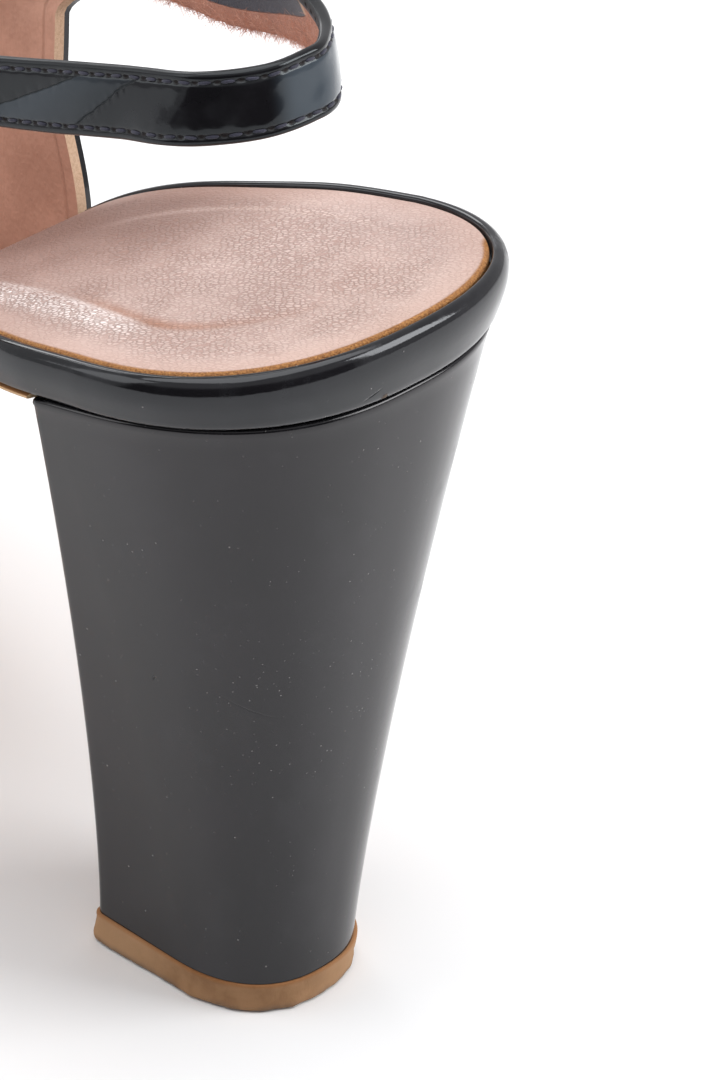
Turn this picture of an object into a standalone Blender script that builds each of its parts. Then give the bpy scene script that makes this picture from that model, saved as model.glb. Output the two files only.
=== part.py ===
"""A slingback pump on a high block heel, one right shoe standing empty on a floor.

Sizes are in millimetres in the shoe's own frame: x runs from the back of the heel seat to the toe,
y to the shoe's left, which is its inner side, and z up from the floor. Meshes are made in metres,
with the origin under the middle of the whole shoe.
"""
import math

import bpy
import numpy as np
from mathutils import Matrix, Vector

MM = 0.001
GAP = 0.3                # clearance between pieces that lie on each other

# The sock outline, seen from above.
SEAT_BACK = 1.4          # back of the sock
SEAT_WIDEST = 24.0       # where the heel seat is widest
SEAT_ROUND = 2.35        # exponent of the rounded back
BALL_X = 155.0           # widest station of the forefoot
TOE_X = 231.0            # tip of the sock
TOE_DROP = 2.2           # exponent along the toe
TOE_ROUND = 1.7          # exponent across the toe
TOE_EASE = 1.3           # how far sock and board stay back from the toe's rounded wall
WALL_EASE = 0.2          # the same along the sides of the upper
OUTLINE_COLUMNS = ("x", "centre", "half")
OUTLINE = (
    (24.0, 0.0, 25.4),
    (34.0, 0.2, 24.7),
    (44.0, 0.2, 22.6),
    (56.0, -0.3, 21.2),
    (70.0, -1.0, 20.8),
    (95.0, -2.4, 23.5),
    (120.0, -2.4, 29.8),
    (145.0, -0.4, 36.1),
    (155.0, 0.4, 36.6),
    (190.0, 4.2, 36.6),
    (231.0, 8.0, 36.6),
)

# Height of the sock's edge above the floor, with its rise per millimetre.
PROFILE_COLUMNS = ("x", "z", "rise")
PROFILE = (
    (-4.0, 93.75, -0.20),
    (22.0, 88.68, -0.215),
    (46.0, 82.2, -0.35),
    (71.0, 68.9, -0.79),
    (100.0, 42.2, -1.02),
    (122.0, 20.9, -0.85),
    (152.0, 7.1, 0.0),
    (174.0, 7.1, 0.0),
    (236.0, 11.9, 0.14),
)
SEAT_DISH = 0.8          # depth of the hollow in the heel seat
SOCK = 1.2               # thickness of the sock
BOARD_FRONT = 3.8        # sock top to board bottom in the forefoot
BOARD_SEAT = 1.7         # extra depth from the seat to the waist
BOARD_BACK = 2.1         # further depth at the back of the seat
BOARD_FADE = 9.0         # distance over which that is lost

# Section of the covered rim, as outward offset and depth in shares of its reach and of its height.
RIM_COLUMNS = ("out", "down", "share")
RIM = (
    (0.30, 1.50, 0.00),
    (0.30, 0.10, 0.00),
    (0.75, -0.22, 0.00),
    (1.40, -0.10, 0.00),
    (2.00, 0.60, 0.00),
    (2.25, 1.70, 0.00),
    (2.05, 1.70, 0.40),
    (1.55, 1.40, 0.80),
    (1.15, 1.50, 1.00),
)

# The heel block, from its lower end on the top piece to the seat.
HEEL_COLUMNS = ("end", "back", "half", "depth", "round", "front")
HEEL = (
    (0.0, 8.85, 11.45, 12.8, 2.34, 34.4),
    (1.0, 0.43, 26.55, 28.1, 2.48, 31.6),
)
HEEL_FLARE = 1.37        # power of the widening up the heel
HEEL_LEAN = 1.26         # power of the back's lean
HEEL_CORNER = 1.2        # radius of the two breast corners
HEEL_EDGE = 0.5          # rounding at the heel's upper edge
TIP_HEIGHT = 3.8         # thickness of the top piece
TIP_PROUD = 0.15         # how far its foot stands out of the heel

# The outsole.
SOLE_BACK = 32.2         # its rear end, before the heel's breast
SOLE_EDGE_BACK = 0.5     # edge thickness in the waist
SOLE_CORE_BACK = 2.0     # thickness on the centre line there
SOLE_FRONT = 3.0         # thickness under the ball and toe
SOLE_WAIST_OUT = 1.1     # reach of its edge outside the sock in the waist
SOLE_BALL_OUT = 1.7      # the same under the forefoot

# The upper: a closed vamp with two quarters, as one wall.
WALL = 2.0               # wall of leather and lining
UPPER_OUT = WALL + GAP   # its outer face outside the sock
QUARTER_X = 73.4         # back edge of the quarters at the sole
QUARTER_LEAN = 5.3       # how far that edge curves forward below the ears
QUARTER_FULL = 0.42      # share of the height where it is furthest forward
EAR_X = 76.5             # the ears' station before their reach
EAR_REACH = 9.0          # how far the ears reach back to the strap
EAR_RISE = 0.3           # their rise per millimetre of that reach, as the strap's
EAR_TOP = 1.8            # extra height at the top of the ears
EAR_FROM = 0.57          # share of the height where an ear begins
EAR_FULL = 0.74          # share from which it has its full reach
EAR_SHARE = 0.16         # share of the quarter's length that it leans on
THROAT_X = 150.0         # front of the opening
EAR_IN = 0.893           # lean of the ear's top, as a share of the half width
THROAT_POWER = 0.4       # roundness of the throat
LAST_ROUND = 2.4         # exponent of the last's cross section
SPLAY = 5.0              # how far the empty quarters open outward
TOE_CAP_X = 180.0        # where the vamp starts to fall to the toe
TOE_CAP = (2.4, 2.0)     # exponents of that fall
RIDGE_COLUMNS = ("x", "z")
RIDGE = (
    (56.0, 155.0),
    (75.0, 141.0),
    (100.0, 110.0),
    (120.0, 87.0),
    (150.0, 59.0),
    (165.0, 48.5),
    (180.0, 40.5),
    (210.0, 31.0),
    (236.0, 27.0),
)

# The slack sling strap, on the middle of its band between the two ears.
STRAP_WIDTH = 8.0
STRAP_THICK = 1.5
STRAP_EDGE = 0.5         # rounding of its edges
STRAP_TUCK = 0.5         # clearance between strap end and quarter
STRAP_COLUMNS = ("x", "y", "z", "lean")  # lean: degrees that its upper edge tips inward
STRAP = (
    (46.0, 17.0, 108.4, 5.0),
    (30.0, 15.7, 113.2, 10.0),
    (19.5, 14.3, 116.1, 12.0),
    (14.5, 9.2, 117.3, 12.0),
    (13.8, 3.0, 117.5, 12.0),
    (17.5, -3.2, 116.6, 12.0),
    (30.0, -11.8, 113.5, 10.0),
    (46.0, -17.7, 108.8, 5.0),
)

COUNT_SIDE = 52          # stations along one side of sock, rim and sole
COUNT_ACROSS = 4         # strips across sock, board and sole
COUNT_HEEL = 14          # stations along one side of the heel
COUNT_UPPER = 30         # columns on one side of the upper
COUNT_ROWS = 13          # rows of the upper
COUNT_STRAP = 50         # stations along the strap


def column(table, names, name):
    return np.array([row[names.index(name)] for row in table], float)


def hermite(x, xs, ys, slopes):
    x = np.asarray(x, float)
    i = np.clip(np.searchsorted(xs, x) - 1, 0, len(xs) - 2)
    step = xs[i + 1] - xs[i]
    t = np.clip((x - xs[i]) / step, 0.0, 1.0)
    a = (1 + 2 * t) * (1 - t) ** 2 * ys[i] + t * (1 - t) ** 2 * step * slopes[i]
    return a + t * t * (3 - 2 * t) * ys[i + 1] + t * t * (t - 1) * step * slopes[i + 1]


def smooth(x, xs, ys):
    secant = np.diff(ys) / np.diff(xs)
    slopes = np.concatenate([secant[:1], (secant[1:] + secant[:-1]) / 2, secant[-1:]])
    turn = np.concatenate([[False], secant[1:] * secant[:-1] <= 0, [False]])
    return hermite(x, xs, ys, np.where(turn, 0.0, slopes))


def ease(t):
    t = np.clip(t, 0.0, 1.0)
    return t * t * (3 - 2 * t)


def sock_z(x):
    return hermite(x, column(PROFILE, PROFILE_COLUMNS, "x"), column(PROFILE, PROFILE_COLUMNS, "z"),
                   column(PROFILE, PROFILE_COLUMNS, "rise"))


def board_depth(x):
    x = np.asarray(x, float)
    seat = BOARD_SEAT * (1 - ease((x - 45.0) / 60.0))
    return BOARD_FRONT + seat + BOARD_BACK * np.exp(-x / BOARD_FADE)


def outline(x, out=0.0):
    """Centre line and half width of the sock's outline grown by out."""
    x = np.asarray(x, float)
    xs = column(OUTLINE, OUTLINE_COLUMNS, "x")
    centre = smooth(x, xs, column(OUTLINE, OUTLINE_COLUMNS, "centre"))
    half = smooth(x, xs, column(OUTLINE, OUTLINE_COLUMNS, "half")) + out
    back = np.clip((SEAT_WIDEST - x) / (SEAT_WIDEST - SEAT_BACK + out), 0.0, 1.0)
    toe = np.clip((x - BALL_X) / (TOE_X - BALL_X + out), 0.0, 1.0)
    half = half * (1 - back ** SEAT_ROUND) ** (1 / SEAT_ROUND)
    return centre, half * (1 - toe ** TOE_DROP) ** (1 / TOE_ROUND)


def stations(count, start, end):
    """Stations along the shoe, close together at both rounded ends."""
    back = start + (SEAT_WIDEST - start) * (1 - np.cos(np.linspace(0, math.pi / 2, 12)))
    waist = np.linspace(SEAT_WIDEST, BALL_X, count - 24 + 2)[1:-1]
    toe = BALL_X + (end - BALL_X) * np.sin(np.linspace(0, math.pi / 2, 14))
    return np.concatenate([back, waist, toe])


def loop(xs):
    """Closed outline: back point, left side, toe point, right side, with its outward normals."""
    centre, half = outline(xs)
    y = np.concatenate([centre + half, (centre - half)[-2:0:-1]])
    x = np.concatenate([xs, xs[-2:0:-1]])
    dx = np.roll(x, -1) - np.roll(x, 1)
    dy = np.roll(y, -1) - np.roll(y, 1)
    size = np.hypot(dx, dy)
    return x, y, -dy / size, dx / size


def make(name, verts, faces, colour, rough):
    mesh = bpy.data.meshes.new(name)
    mesh.from_pydata([Vector(v) * MM for v in verts], [], faces)
    mesh.validate()
    material = bpy.data.materials.new(name)
    material.use_nodes = True
    shader = material.node_tree.nodes["Principled BSDF"]
    shader.inputs["Base Color"].default_value = (*colour, 1.0)
    shader.inputs["Roughness"].default_value = rough
    mesh.materials.append(material)
    piece = bpy.data.objects.new(name, mesh)
    shoe.objects.link(piece)
    return piece


def walls(rings, closed):
    """Verts of all rings, and the faces between each ring and the next."""
    count = len(rings[0])
    verts = [tuple(p) for ring in rings for p in ring]
    faces = []
    for k in range(len(rings) - 1):
        for i in range(count if closed else count - 1):
            j = (i + 1) % count
            faces.append((k * count + i, k * count + j, (k + 1) * count + j, (k + 1) * count + i))
    return verts, faces


def strips(verts, pairs, height):
    """Rows of points from left to right between pairs of ring points, which are added to the verts."""
    rows = []
    for left, right in pairs:
        a, b = np.array(verts[left]), np.array(verts[right])
        row = [left]
        for k in range(1, COUNT_ACROSS):
            p = a + (b - a) * k / COUNT_ACROSS
            p[2] += height(p[0], k / COUNT_ACROSS)
            row.append(len(verts))
            verts.append(tuple(p))
        rows.append(row + [right])
    return rows


def cap(rows, back, tip):
    """Faces over rows of points, with fans to a point at the back and at the tip where there is one."""
    faces = []
    for a, b in zip(rows, rows[1:]):
        faces += [(a[k], a[k + 1], b[k + 1], b[k]) for k in range(COUNT_ACROSS)]
    if back is not None:
        faces += [(back, rows[0][k + 1], rows[0][k]) for k in range(COUNT_ACROSS)]
    if tip is not None:
        faces += [(rows[-1][k], rows[-1][k + 1], tip) for k in range(COUNT_ACROSS)]
    return faces


def long_solid(rings, upper_height, lower_height):
    """Rings from the upper to the lower one, each of a back point, left side, toe point and right side."""
    verts, faces = walls(rings, True)
    count = len(rings[0])
    side = count // 2 - 1
    for ring, height, way in ((0, upper_height, 1), (len(rings) - 1, lower_height, -1)):
        base = ring * count
        rows = strips(verts, [(base + i, base + count - i) for i in range(1, side + 1)], height)
        faces += [f[::way] for f in cap(rows, base, base + side + 1)]
    return verts, faces


def heel_solid(rings):
    """The same for rings of a back point, left side, straight breast in equal steps and right side."""
    verts, faces = walls(rings, True)
    count = len(rings[0])
    side = (count - COUNT_ACROSS) // 2
    for ring, way in ((0, 1), (len(rings) - 1, -1)):
        base = ring * count
        rows = strips(verts, [(base + i, base + count - i) for i in range(1, side)], flat)
        rows.append([base + side + k for k in range(COUNT_ACROSS + 1)])
        faces += [f[::way] for f in cap(rows, base, None)]
    return verts, faces


def sole_solid(rings, lower_height):
    """The same for rings of a left side, toe point and right side, with a straight rear end."""
    verts, faces = walls(rings, False)
    count = len(rings[0])
    side = (count - 1) // 2
    ends = []
    for ring, height, way in ((0, flat, 1), (len(rings) - 1, lower_height, -1)):
        base = ring * count
        rows = strips(verts, [(base + i, base + count - 1 - i) for i in range(side)], height)
        faces += [f[::way] for f in cap(rows, None, base + side)]
        ends.append(rows[0])
    between = range(1, len(rings) - 1)
    left, right = [k * count for k in between], [(k + 1) * count - 1 for k in between]
    faces.append(tuple(ends[0][::-1] + left + ends[1] + right[::-1]))
    return verts, faces


def upper_ease(x):
    return WALL_EASE * ease((x - QUARTER_X) / 10.0) + TOE_EASE * ease((x - 180.0) / 45.0)


def flat(x, share):
    return 0.0


def hollow(x, share):
    """The worn hollow of the heel seat, none past the waist."""
    return -SEAT_DISH * math.sin(math.pi * share) * float(ease((60.0 - x) / 30.0) * ease(x / 14.0))


def build_insole():
    x, y, nx, ny = loop(stations(COUNT_SIDE, SEAT_BACK, TOE_X))
    z = sock_z(x)
    keep = upper_ease(x)
    rings = [np.stack([x - nx * (inset + keep), y - ny * (inset + keep), z - depth], 1)
             for inset, depth in ((0.35, 0.0), (0.0, 0.3), (0.0, SOCK))]
    verts, faces = long_solid(rings, hollow, hollow)
    return make("insole", verts, faces, (0.60, 0.43, 0.37), 0.6)


def build_rim():
    """Covered board: its rim shows round the open heel and waist, and it runs on plainly inside the upper."""
    step = QUARTER_X - GAP - 0.2
    xs = stations(COUNT_SIDE, SEAT_BACK, TOE_X)
    xs = np.sort(np.concatenate([xs[np.abs(xs - step) > 1.5], [step, step + 0.2]]))
    x, y, nx, ny = loop(xs)
    z, depth = sock_z(x), board_depth(x)
    open_part = x < step + 0.1
    top = SOCK + GAP
    rings = []
    for i, (out, down, share) in enumerate(RIM):
        drop = down + share * (depth - down)
        plain = top + (depth - top) * i / (len(RIM) - 1)
        reach = np.where(open_part, out, -upper_ease(x))
        rings.append(np.stack([x + nx * reach, y + ny * reach, z - np.where(open_part, drop, plain)], 1))
    verts, faces = long_solid(rings, hollow, flat)
    return make("rim_board", verts, faces, (0.035, 0.034, 0.038), 0.2)


def sole_reach(x):
    return SOLE_WAIST_OUT + (SOLE_BALL_OUT - SOLE_WAIST_OUT) * ease((x - 60.0) / 40.0)


def sole_thickness(x, back):
    return back + (SOLE_FRONT - back) * ease((x - 60.0) / 80.0)


def build_outsole():
    """Thin leather sole from the heel's breast to the toe, flat under the ball."""
    xs = stations(COUNT_SIDE, SEAT_BACK, TOE_X)
    x, y, nx, ny = loop(np.concatenate([[SOLE_BACK - 6.0, SOLE_BACK], xs[xs > SOLE_BACK + 1.0]]))
    keep = x >= SOLE_BACK - 0.01
    x, y, nx, ny = x[keep], y[keep], nx[keep], ny[keep]
    reach = sole_reach(x)
    edge = sole_thickness(x, SOLE_EDGE_BACK)
    z = sock_z(x) - board_depth(x) - GAP
    px, py = x + nx * reach, y + ny * reach
    rear = np.isclose(x, SOLE_BACK)
    px[rear] = SOLE_BACK
    soft = 0.35
    upper = np.stack([px, py, z], 1)
    lower = np.stack([px - nx * soft, py - ny * soft, z - edge], 1)
    middle = np.stack([px, py, z - edge + soft], 1)
    lower[rear, 0] = SOLE_BACK

    def belly(at, share):
        bulge = sole_thickness(at, SOLE_CORE_BACK) - sole_thickness(at, SOLE_EDGE_BACK)
        return -float(bulge) * min(1.0, 2.2 * math.sin(math.pi * share))

    verts, faces = sole_solid((upper, middle, lower), belly)
    return make("outsole", verts, faces, (0.36, 0.21, 0.11), 0.6)


def heel_ring(share, inset=0.0):
    """Plan outline of the heel at a share of its height: back point, left side to the breast, right side."""
    low, high = (dict(zip(HEEL_COLUMNS, row)) for row in HEEL)
    wide, lean = share ** HEEL_FLARE, share ** HEEL_LEAN

    def between(name, a=wide):
        return low[name] + (high[name] - low[name]) * a

    back, front = between("back", lean) + inset, between("front") - inset
    half, depth, power = between("half") - inset, between("depth"), between("round")
    turn = np.linspace(0, math.pi / 2, COUNT_HEEL - 3)
    along = depth * (1 - np.cos(turn))
    x = back + along
    y = half * (1 - (1 - along / depth) ** power) ** (1 / power)
    r = HEEL_CORNER
    x = np.concatenate([np.minimum(x, front - r - 0.2), [front - r, front - 0.3 * r, front]])
    y = np.concatenate([y, [half, half - 0.3 * r, half - r]])
    breast = np.linspace(y[-1], -y[-1], COUNT_ACROSS + 1)[1:-1]
    return (np.concatenate([x, np.full(len(breast), front), x[:0:-1]]),
            np.concatenate([y, breast, -y[:0:-1]]))


def seam_z(x):
    return sock_z(x) - board_depth(x) - GAP


def build_heel():
    levels = [(1.0, HEEL_EDGE, 0.0), (1.0, 0.0, HEEL_EDGE)]
    levels += [(s, 0.0, 0.0) for s in (0.93, 0.84, 0.72, 0.58, 0.43, 0.28, 0.14, 0.05, 0.0)]
    rings = []
    top_x = np.maximum(heel_ring(1.0)[0], SEAT_BACK + 1.0)  # level behind the sock, clear of the rim
    for share, inset, drop in levels:
        x, y = heel_ring(share, inset)
        z = TIP_HEIGHT + GAP + (seam_z(top_x) - TIP_HEIGHT - GAP) * share - drop
        rings.append(np.stack([x, y, z], 1))
    verts, faces = heel_solid(rings)
    return make("heel_block", verts, faces, (0.05, 0.05, 0.055), 0.25)


def build_tip():
    x, y = heel_ring(0.0)
    centre = (x.min() + x.max()) / 2
    rings = []
    for proud, z in ((0.05, TIP_HEIGHT), (0.15, 2.2), (TIP_PROUD, 0.7), (TIP_PROUD, 0.35), (0.05, 0.0)):
        size = 1 + proud / heel_ring(0.0)[1].max()
        rings.append(np.stack([centre + (x - centre) * size, y * size, np.full(len(x), z)], 1))
    verts, faces = heel_solid(rings)
    return make("heel_tip", verts, faces, (0.28, 0.17, 0.10), 0.7)


def last_height(x, ratio):
    """Height of the upper's outer face over its lower edge at a share of the half width."""
    ridge = smooth(x, column(RIDGE, RIDGE_COLUMNS, "x"), column(RIDGE, RIDGE_COLUMNS, "z"))
    fall = np.clip((x - TOE_CAP_X) / (TOE_X + UPPER_OUT - TOE_CAP_X), 0.0, 1.0)
    cap = (1 - fall ** TOE_CAP[0]) ** (1 / TOE_CAP[1])
    arch = (1 - np.clip(np.abs(ratio), 0, 1) ** LAST_ROUND) ** (1 / LAST_ROUND)
    return (ridge - foot_z(x)) * cap * arch


def foot_z(x):
    return sock_z(x) - board_depth(x)


def upper_point(side, along, up):
    """Outer face of the upper on one side: along from quarter to toe and up from sole to topline."""
    tip = TOE_X + UPPER_OUT
    foot_x = QUARTER_X + (tip - QUARTER_X) * along
    turn = 1 - (1 - along) ** 2.06
    top_x = EAR_X + (THROAT_X - EAR_X) * turn
    top_ratio = EAR_IN * (1 - turn) ** THROAT_POWER
    foot_centre, foot_half = outline(foot_x, UPPER_OUT)
    top_centre, top_half = outline(top_x, UPPER_OUT)
    x = foot_x + (top_x - foot_x) * up ** 2
    foot_y = foot_centre + side * foot_half
    top_y = top_centre + side * top_half * top_ratio
    y = foot_y + (top_y - foot_y) * up ** 2
    lean = np.clip(1 - along / EAR_SHARE, 0, 1) ** 2
    forward = QUARTER_LEAN * lean * ease(up / QUARTER_FULL)
    ear = EAR_REACH * lean * ease((up - EAR_FROM) / (EAR_FULL - EAR_FROM))
    top = EAR_TOP * lean * ease((up - EAR_FULL) / (1 - EAR_FULL))
    ratio_centre, ratio_half = outline(x, UPPER_OUT)
    ratio = (y - ratio_centre) / np.maximum(ratio_half, 1e-6)
    z = foot_z(x) + last_height(x, ratio) + EAR_RISE * ear + top
    x = x + forward - ear
    y = y + side * SPLAY * up ** 1.3 * ease(1 - along / 0.45)
    return np.array([float(x), float(y), float(z)])


def build_upper():
    turns = np.linspace(0.0, math.pi / 2, COUNT_UPPER + 1)
    along = np.concatenate([[0.0], np.sin(turns[1:-1]) ** 1.15, [1.0]])
    ups = np.linspace(0.0, 1.0, COUNT_ROWS + 1) ** 0.8
    columns = [(1, a) for a in along] + [(-1, a) for a in along[-2::-1]]
    verts = [upper_point(s, a, u) for s, a in columns for u in ups]
    rows = len(ups)
    faces = []
    for c in range(len(columns) - 1):
        for r in range(rows - 1):
            a, b = c * rows + r, (c + 1) * rows + r
            faces.append((a, a + 1, b + 1, b))
    piece = make("upper", verts, faces, (0.04, 0.04, 0.045), 0.2)
    solid = piece.modifiers.new("wall", "SOLIDIFY")
    solid.thickness = WALL * MM
    solid.offset = -1.0
    solid.use_even_offset = True
    return piece


def strap_end(side, along):
    """Strap middle tucked behind an ear, and the way up its wall."""
    a, b = upper_point(side, along, EAR_FULL), upper_point(side, along, 1.0)
    middle = (a + b) / 2
    middle[1] -= side * (WALL + STRAP_TUCK + STRAP_THICK / 2)
    return middle, (b - a) / np.linalg.norm(b - a)


def build_strap():
    tucks = (0.075, 0.03)
    rows = [strap_end(1, t) for t in tucks]
    rows += [(np.array(r[:3], float), np.array((0.0, 0.0, 1.0))) for r in STRAP]
    rows += [strap_end(-1, t) for t in tucks[::-1]]
    points, ways = np.array([r[0] for r in rows]), np.array([r[1] for r in rows])
    length = np.concatenate([[0.0], np.cumsum(np.linalg.norm(np.diff(points, axis=0), axis=1))])
    at = np.linspace(0.0, length[-1], COUNT_STRAP)
    path = np.stack([smooth(at, length, points[:, k]) for k in range(3)], 1)
    way = np.stack([np.interp(at, length, ways[:, k]) for k in range(3)], 1)
    run = np.gradient(path, axis=0)
    run /= np.linalg.norm(run, axis=1)[:, None]
    way -= run * np.sum(run * way, axis=1)[:, None]
    way /= np.linalg.norm(way, axis=1)[:, None]
    lean = np.pad(column(STRAP, STRAP_COLUMNS, "lean"), len(tucks))
    lean = np.radians(np.interp(at, length, lean))[:, None]
    way = way * np.cos(lean) + np.cross(way, run) * np.sin(lean)
    out = np.cross(way, run)
    w, t, r = STRAP_WIDTH / 2, STRAP_THICK / 2, STRAP_EDGE
    quarter = [(w, t - r), (w - r, t)]
    front = quarter + [(-a, b) for a, b in quarter[::-1]]
    section = front + [(a, -b) for a, b in front[::-1]]
    verts = [tuple(p + u * a + o * b) for p, u, o in zip(path, way, out) for a, b in section]
    size = len(section)
    faces = [tuple(range(size)), tuple((COUNT_STRAP - 1) * size + i for i in range(size - 1, -1, -1))]
    for c in range(COUNT_STRAP - 1):
        for i in range(size):
            j = (i + 1) % size
            faces.append((c * size + i, (c + 1) * size + i, (c + 1) * size + j, c * size + j))
    return make("sling_strap", verts, faces, (0.04, 0.04, 0.045), 0.2)


def settle(pieces):
    """Faces outward, and the origin moved under the middle of the whole shoe."""
    depsgraph = bpy.context.evaluated_depsgraph_get()
    corners = []
    for piece in pieces:
        mesh = piece.evaluated_get(depsgraph).to_mesh()
        corners += [v.co.copy() for v in mesh.vertices]
    low = [min(c[k] for c in corners) for k in range(3)]
    high = [max(c[k] for c in corners) for k in range(3)]
    shift = Vector((-(low[0] + high[0]) / 2, -(low[1] + high[1]) / 2, 0.0))
    for piece in pieces:
        piece.data.transform(Matrix.Translation(shift))
        piece.data.update()


for old in list(bpy.data.objects):
    bpy.data.objects.remove(old, do_unlink=True)
shoe = bpy.data.collections.new("slingback_shoe")
bpy.context.scene.collection.children.link(shoe)
builders = (build_tip, build_heel, build_outsole, build_rim, build_insole, build_upper, build_strap)
settle([build() for build in builders])
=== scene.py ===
import math

import bpy
import numpy as np
from mathutils import Matrix, Vector


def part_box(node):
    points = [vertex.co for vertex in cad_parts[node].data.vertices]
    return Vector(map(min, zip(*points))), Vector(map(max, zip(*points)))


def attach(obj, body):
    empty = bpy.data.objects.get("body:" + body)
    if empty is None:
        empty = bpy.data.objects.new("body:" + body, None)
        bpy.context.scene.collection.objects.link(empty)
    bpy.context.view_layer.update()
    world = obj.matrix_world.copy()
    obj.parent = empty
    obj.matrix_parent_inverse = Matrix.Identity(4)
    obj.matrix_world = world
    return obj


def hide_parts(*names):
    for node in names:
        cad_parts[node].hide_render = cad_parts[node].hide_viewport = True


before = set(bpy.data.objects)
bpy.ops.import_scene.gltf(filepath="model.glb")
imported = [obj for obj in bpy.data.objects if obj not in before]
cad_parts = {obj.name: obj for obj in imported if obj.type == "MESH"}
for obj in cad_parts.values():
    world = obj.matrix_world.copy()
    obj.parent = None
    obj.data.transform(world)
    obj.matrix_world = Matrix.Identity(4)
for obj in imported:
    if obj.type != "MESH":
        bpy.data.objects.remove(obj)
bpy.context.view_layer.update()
print("frame loaded:", ", ".join(sorted(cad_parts)))

# the shoe's own frame, in mm: x from the back of the seat to the toe, y to the inner side, z up from the floor
mm = 0.001
rimBack = 0.85  # the rim reaches this far behind x = 0
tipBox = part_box("heel_tip")
shoeZero = np.array([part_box("rim_board")[0].x + rimBack * mm, (tipBox[0].y + tipBox[1].y) / 2, 0.0])
sharpAngle = math.radians(48)
quarterTurn, halfTurn, fullTurn = math.pi / 2, math.pi, 2 * math.pi

last = {
    "gap": 0.3,
    "seatBack": 1.4, "seatWidest": 24.0, "seatRound": 2.35,
    "ballX": 155.0, "toeX": 231.0, "toeDrop": 2.2, "toeRound": 1.7,
    "wallEase": 0.2, "wallRun": 10.0, "toeEase": 1.3, "toeRun": (180.0, 45.0),  # room left inside the upper
    "plan": ((24.0, 0.0, 25.4), (34.0, 0.2, 24.7), (44.0, 0.2, 22.6), (56.0, -0.3, 21.2), (70.0, -1.0, 20.8),
             (95.0, -2.4, 23.5), (120.0, -2.4, 29.8), (145.0, -0.4, 36.1), (155.0, 0.4, 36.6),
             (190.0, 4.2, 36.6), (231.0, 8.0, 36.6)),  # x, middle, half width of the sock
    "profile": ((-4.0, 93.75, -0.20), (22.0, 88.68, -0.215), (46.0, 82.2, -0.35), (71.0, 68.9, -0.79),
                (100.0, 42.2, -1.02), (122.0, 20.9, -0.85), (152.0, 7.1, 0.0), (174.0, 7.1, 0.0),
                (236.0, 11.9, 0.14)),  # x, height, rise
    "dish": 0.8, "dishBack": (0.0, 14.0), "dishFront": (60.0, -30.0),  # hollow of the heel seat
    "boardFront": 3.8, "boardSeat": 1.7, "boardRun": (45.0, 60.0), "boardBack": 2.1, "boardFade": 9.0,
    "seatStations": 44, "waistStep": 1.0, "waistEnd": 92.0, "shankStations": 26, "toeStations": 34,
}


def hermite(x, xs, ys, slopes):
    x = np.asarray(x, float)
    i = np.clip(np.searchsorted(xs, x) - 1, 0, len(xs) - 2)
    step = xs[i + 1] - xs[i]
    t = np.clip((x - xs[i]) / step, 0.0, 1.0)
    a = (1 + 2 * t) * (1 - t) ** 2 * ys[i] + t * (1 - t) ** 2 * step * slopes[i]
    return a + t * t * (3 - 2 * t) * ys[i + 1] + t * t * (t - 1) * step * slopes[i + 1]


def smooth(x, xs, ys):
    xs, ys = np.asarray(xs, float), np.asarray(ys, float)
    secant = np.diff(ys) / np.diff(xs)
    slopes = np.concatenate([secant[:1], (secant[1:] + secant[:-1]) / 2, secant[-1:]])
    turn = np.concatenate([[False], secant[1:] * secant[:-1] <= 0, [False]])
    return hermite(x, xs, ys, np.where(turn, 0.0, slopes))


def ease(t):
    t = np.clip(t, 0.0, 1.0)
    return t * t * (3 - 2 * t)


def ramp(x, start, length):  # soft step from start over a length, falling where the length is negative
    return ease((x - start) / length)


def bell(t):
    return np.exp(-np.asarray(t, float) ** 2)


def sockZ(x):
    return hermite(x, *np.array(last["profile"]).T)


def boardDepth(x):
    x = np.asarray(x, float)
    seat = last["boardSeat"] * (1 - ramp(x, *last["boardRun"]))
    return last["boardFront"] + seat + last["boardBack"] * np.exp(-x / last["boardFade"])


def plan(x, out=0.0):
    xs, middle, half = np.array(last["plan"]).T
    x = np.asarray(x, float)
    back = np.clip((last["seatWidest"] - x) / (last["seatWidest"] - last["seatBack"] + out), 0.0, 1.0)
    toe = np.clip((x - last["ballX"]) / (last["toeX"] - last["ballX"] + out), 0.0, 1.0)
    width = (smooth(x, xs, half) + out) * (1 - back ** last["seatRound"]) ** (1 / last["seatRound"])
    return smooth(x, xs, middle), width * (1 - toe ** last["toeDrop"]) ** (1 / last["toeRound"])


def upperEase(x):  # sock and board stay back from the upper's wall
    wall = last["wallEase"] * ramp(x, upper["quarterX"], last["wallRun"])
    return wall + last["toeEase"] * ramp(x, *last["toeRun"])


def stationsAlong():  # close together round the open seat, wider apart inside the upper
    back, widest, ball, step = (last[k] for k in ("seatBack", "seatWidest", "ballX", "waistStep"))
    seat = back + (widest - back) * (1 - np.cos(np.linspace(0, quarterTurn, last["seatStations"])))
    waist = np.arange(widest + step, last["waistEnd"] - step / 2, step)
    shank = np.linspace(last["waistEnd"], ball, last["shankStations"])[:-1]
    toe = ball + (last["toeX"] - ball) * np.sin(np.linspace(0, quarterTurn, last["toeStations"]))
    return np.concatenate([seat, waist, shank, toe])


def outlineLoop(xs):  # back point, inner side, toe point, outer side, with the outward normals
    middle, half = plan(xs)
    x = np.concatenate([xs, xs[-2:0:-1]])
    y = np.concatenate([middle + half, (middle - half)[-2:0:-1]])
    dx, dy = np.roll(x, -1) - np.roll(x, 1), np.roll(y, -1) - np.roll(y, 1)
    size = np.hypot(dx, dy)
    return x, y, -dy / size, dx / size


def seatHollow(x, y, share):
    return -last["dish"] * np.sin(halfTurn * share) * ramp(x, *last["dishFront"]) * ramp(x, *last["dishBack"])


def noLift(x, y, share):
    return 0 * x


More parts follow.
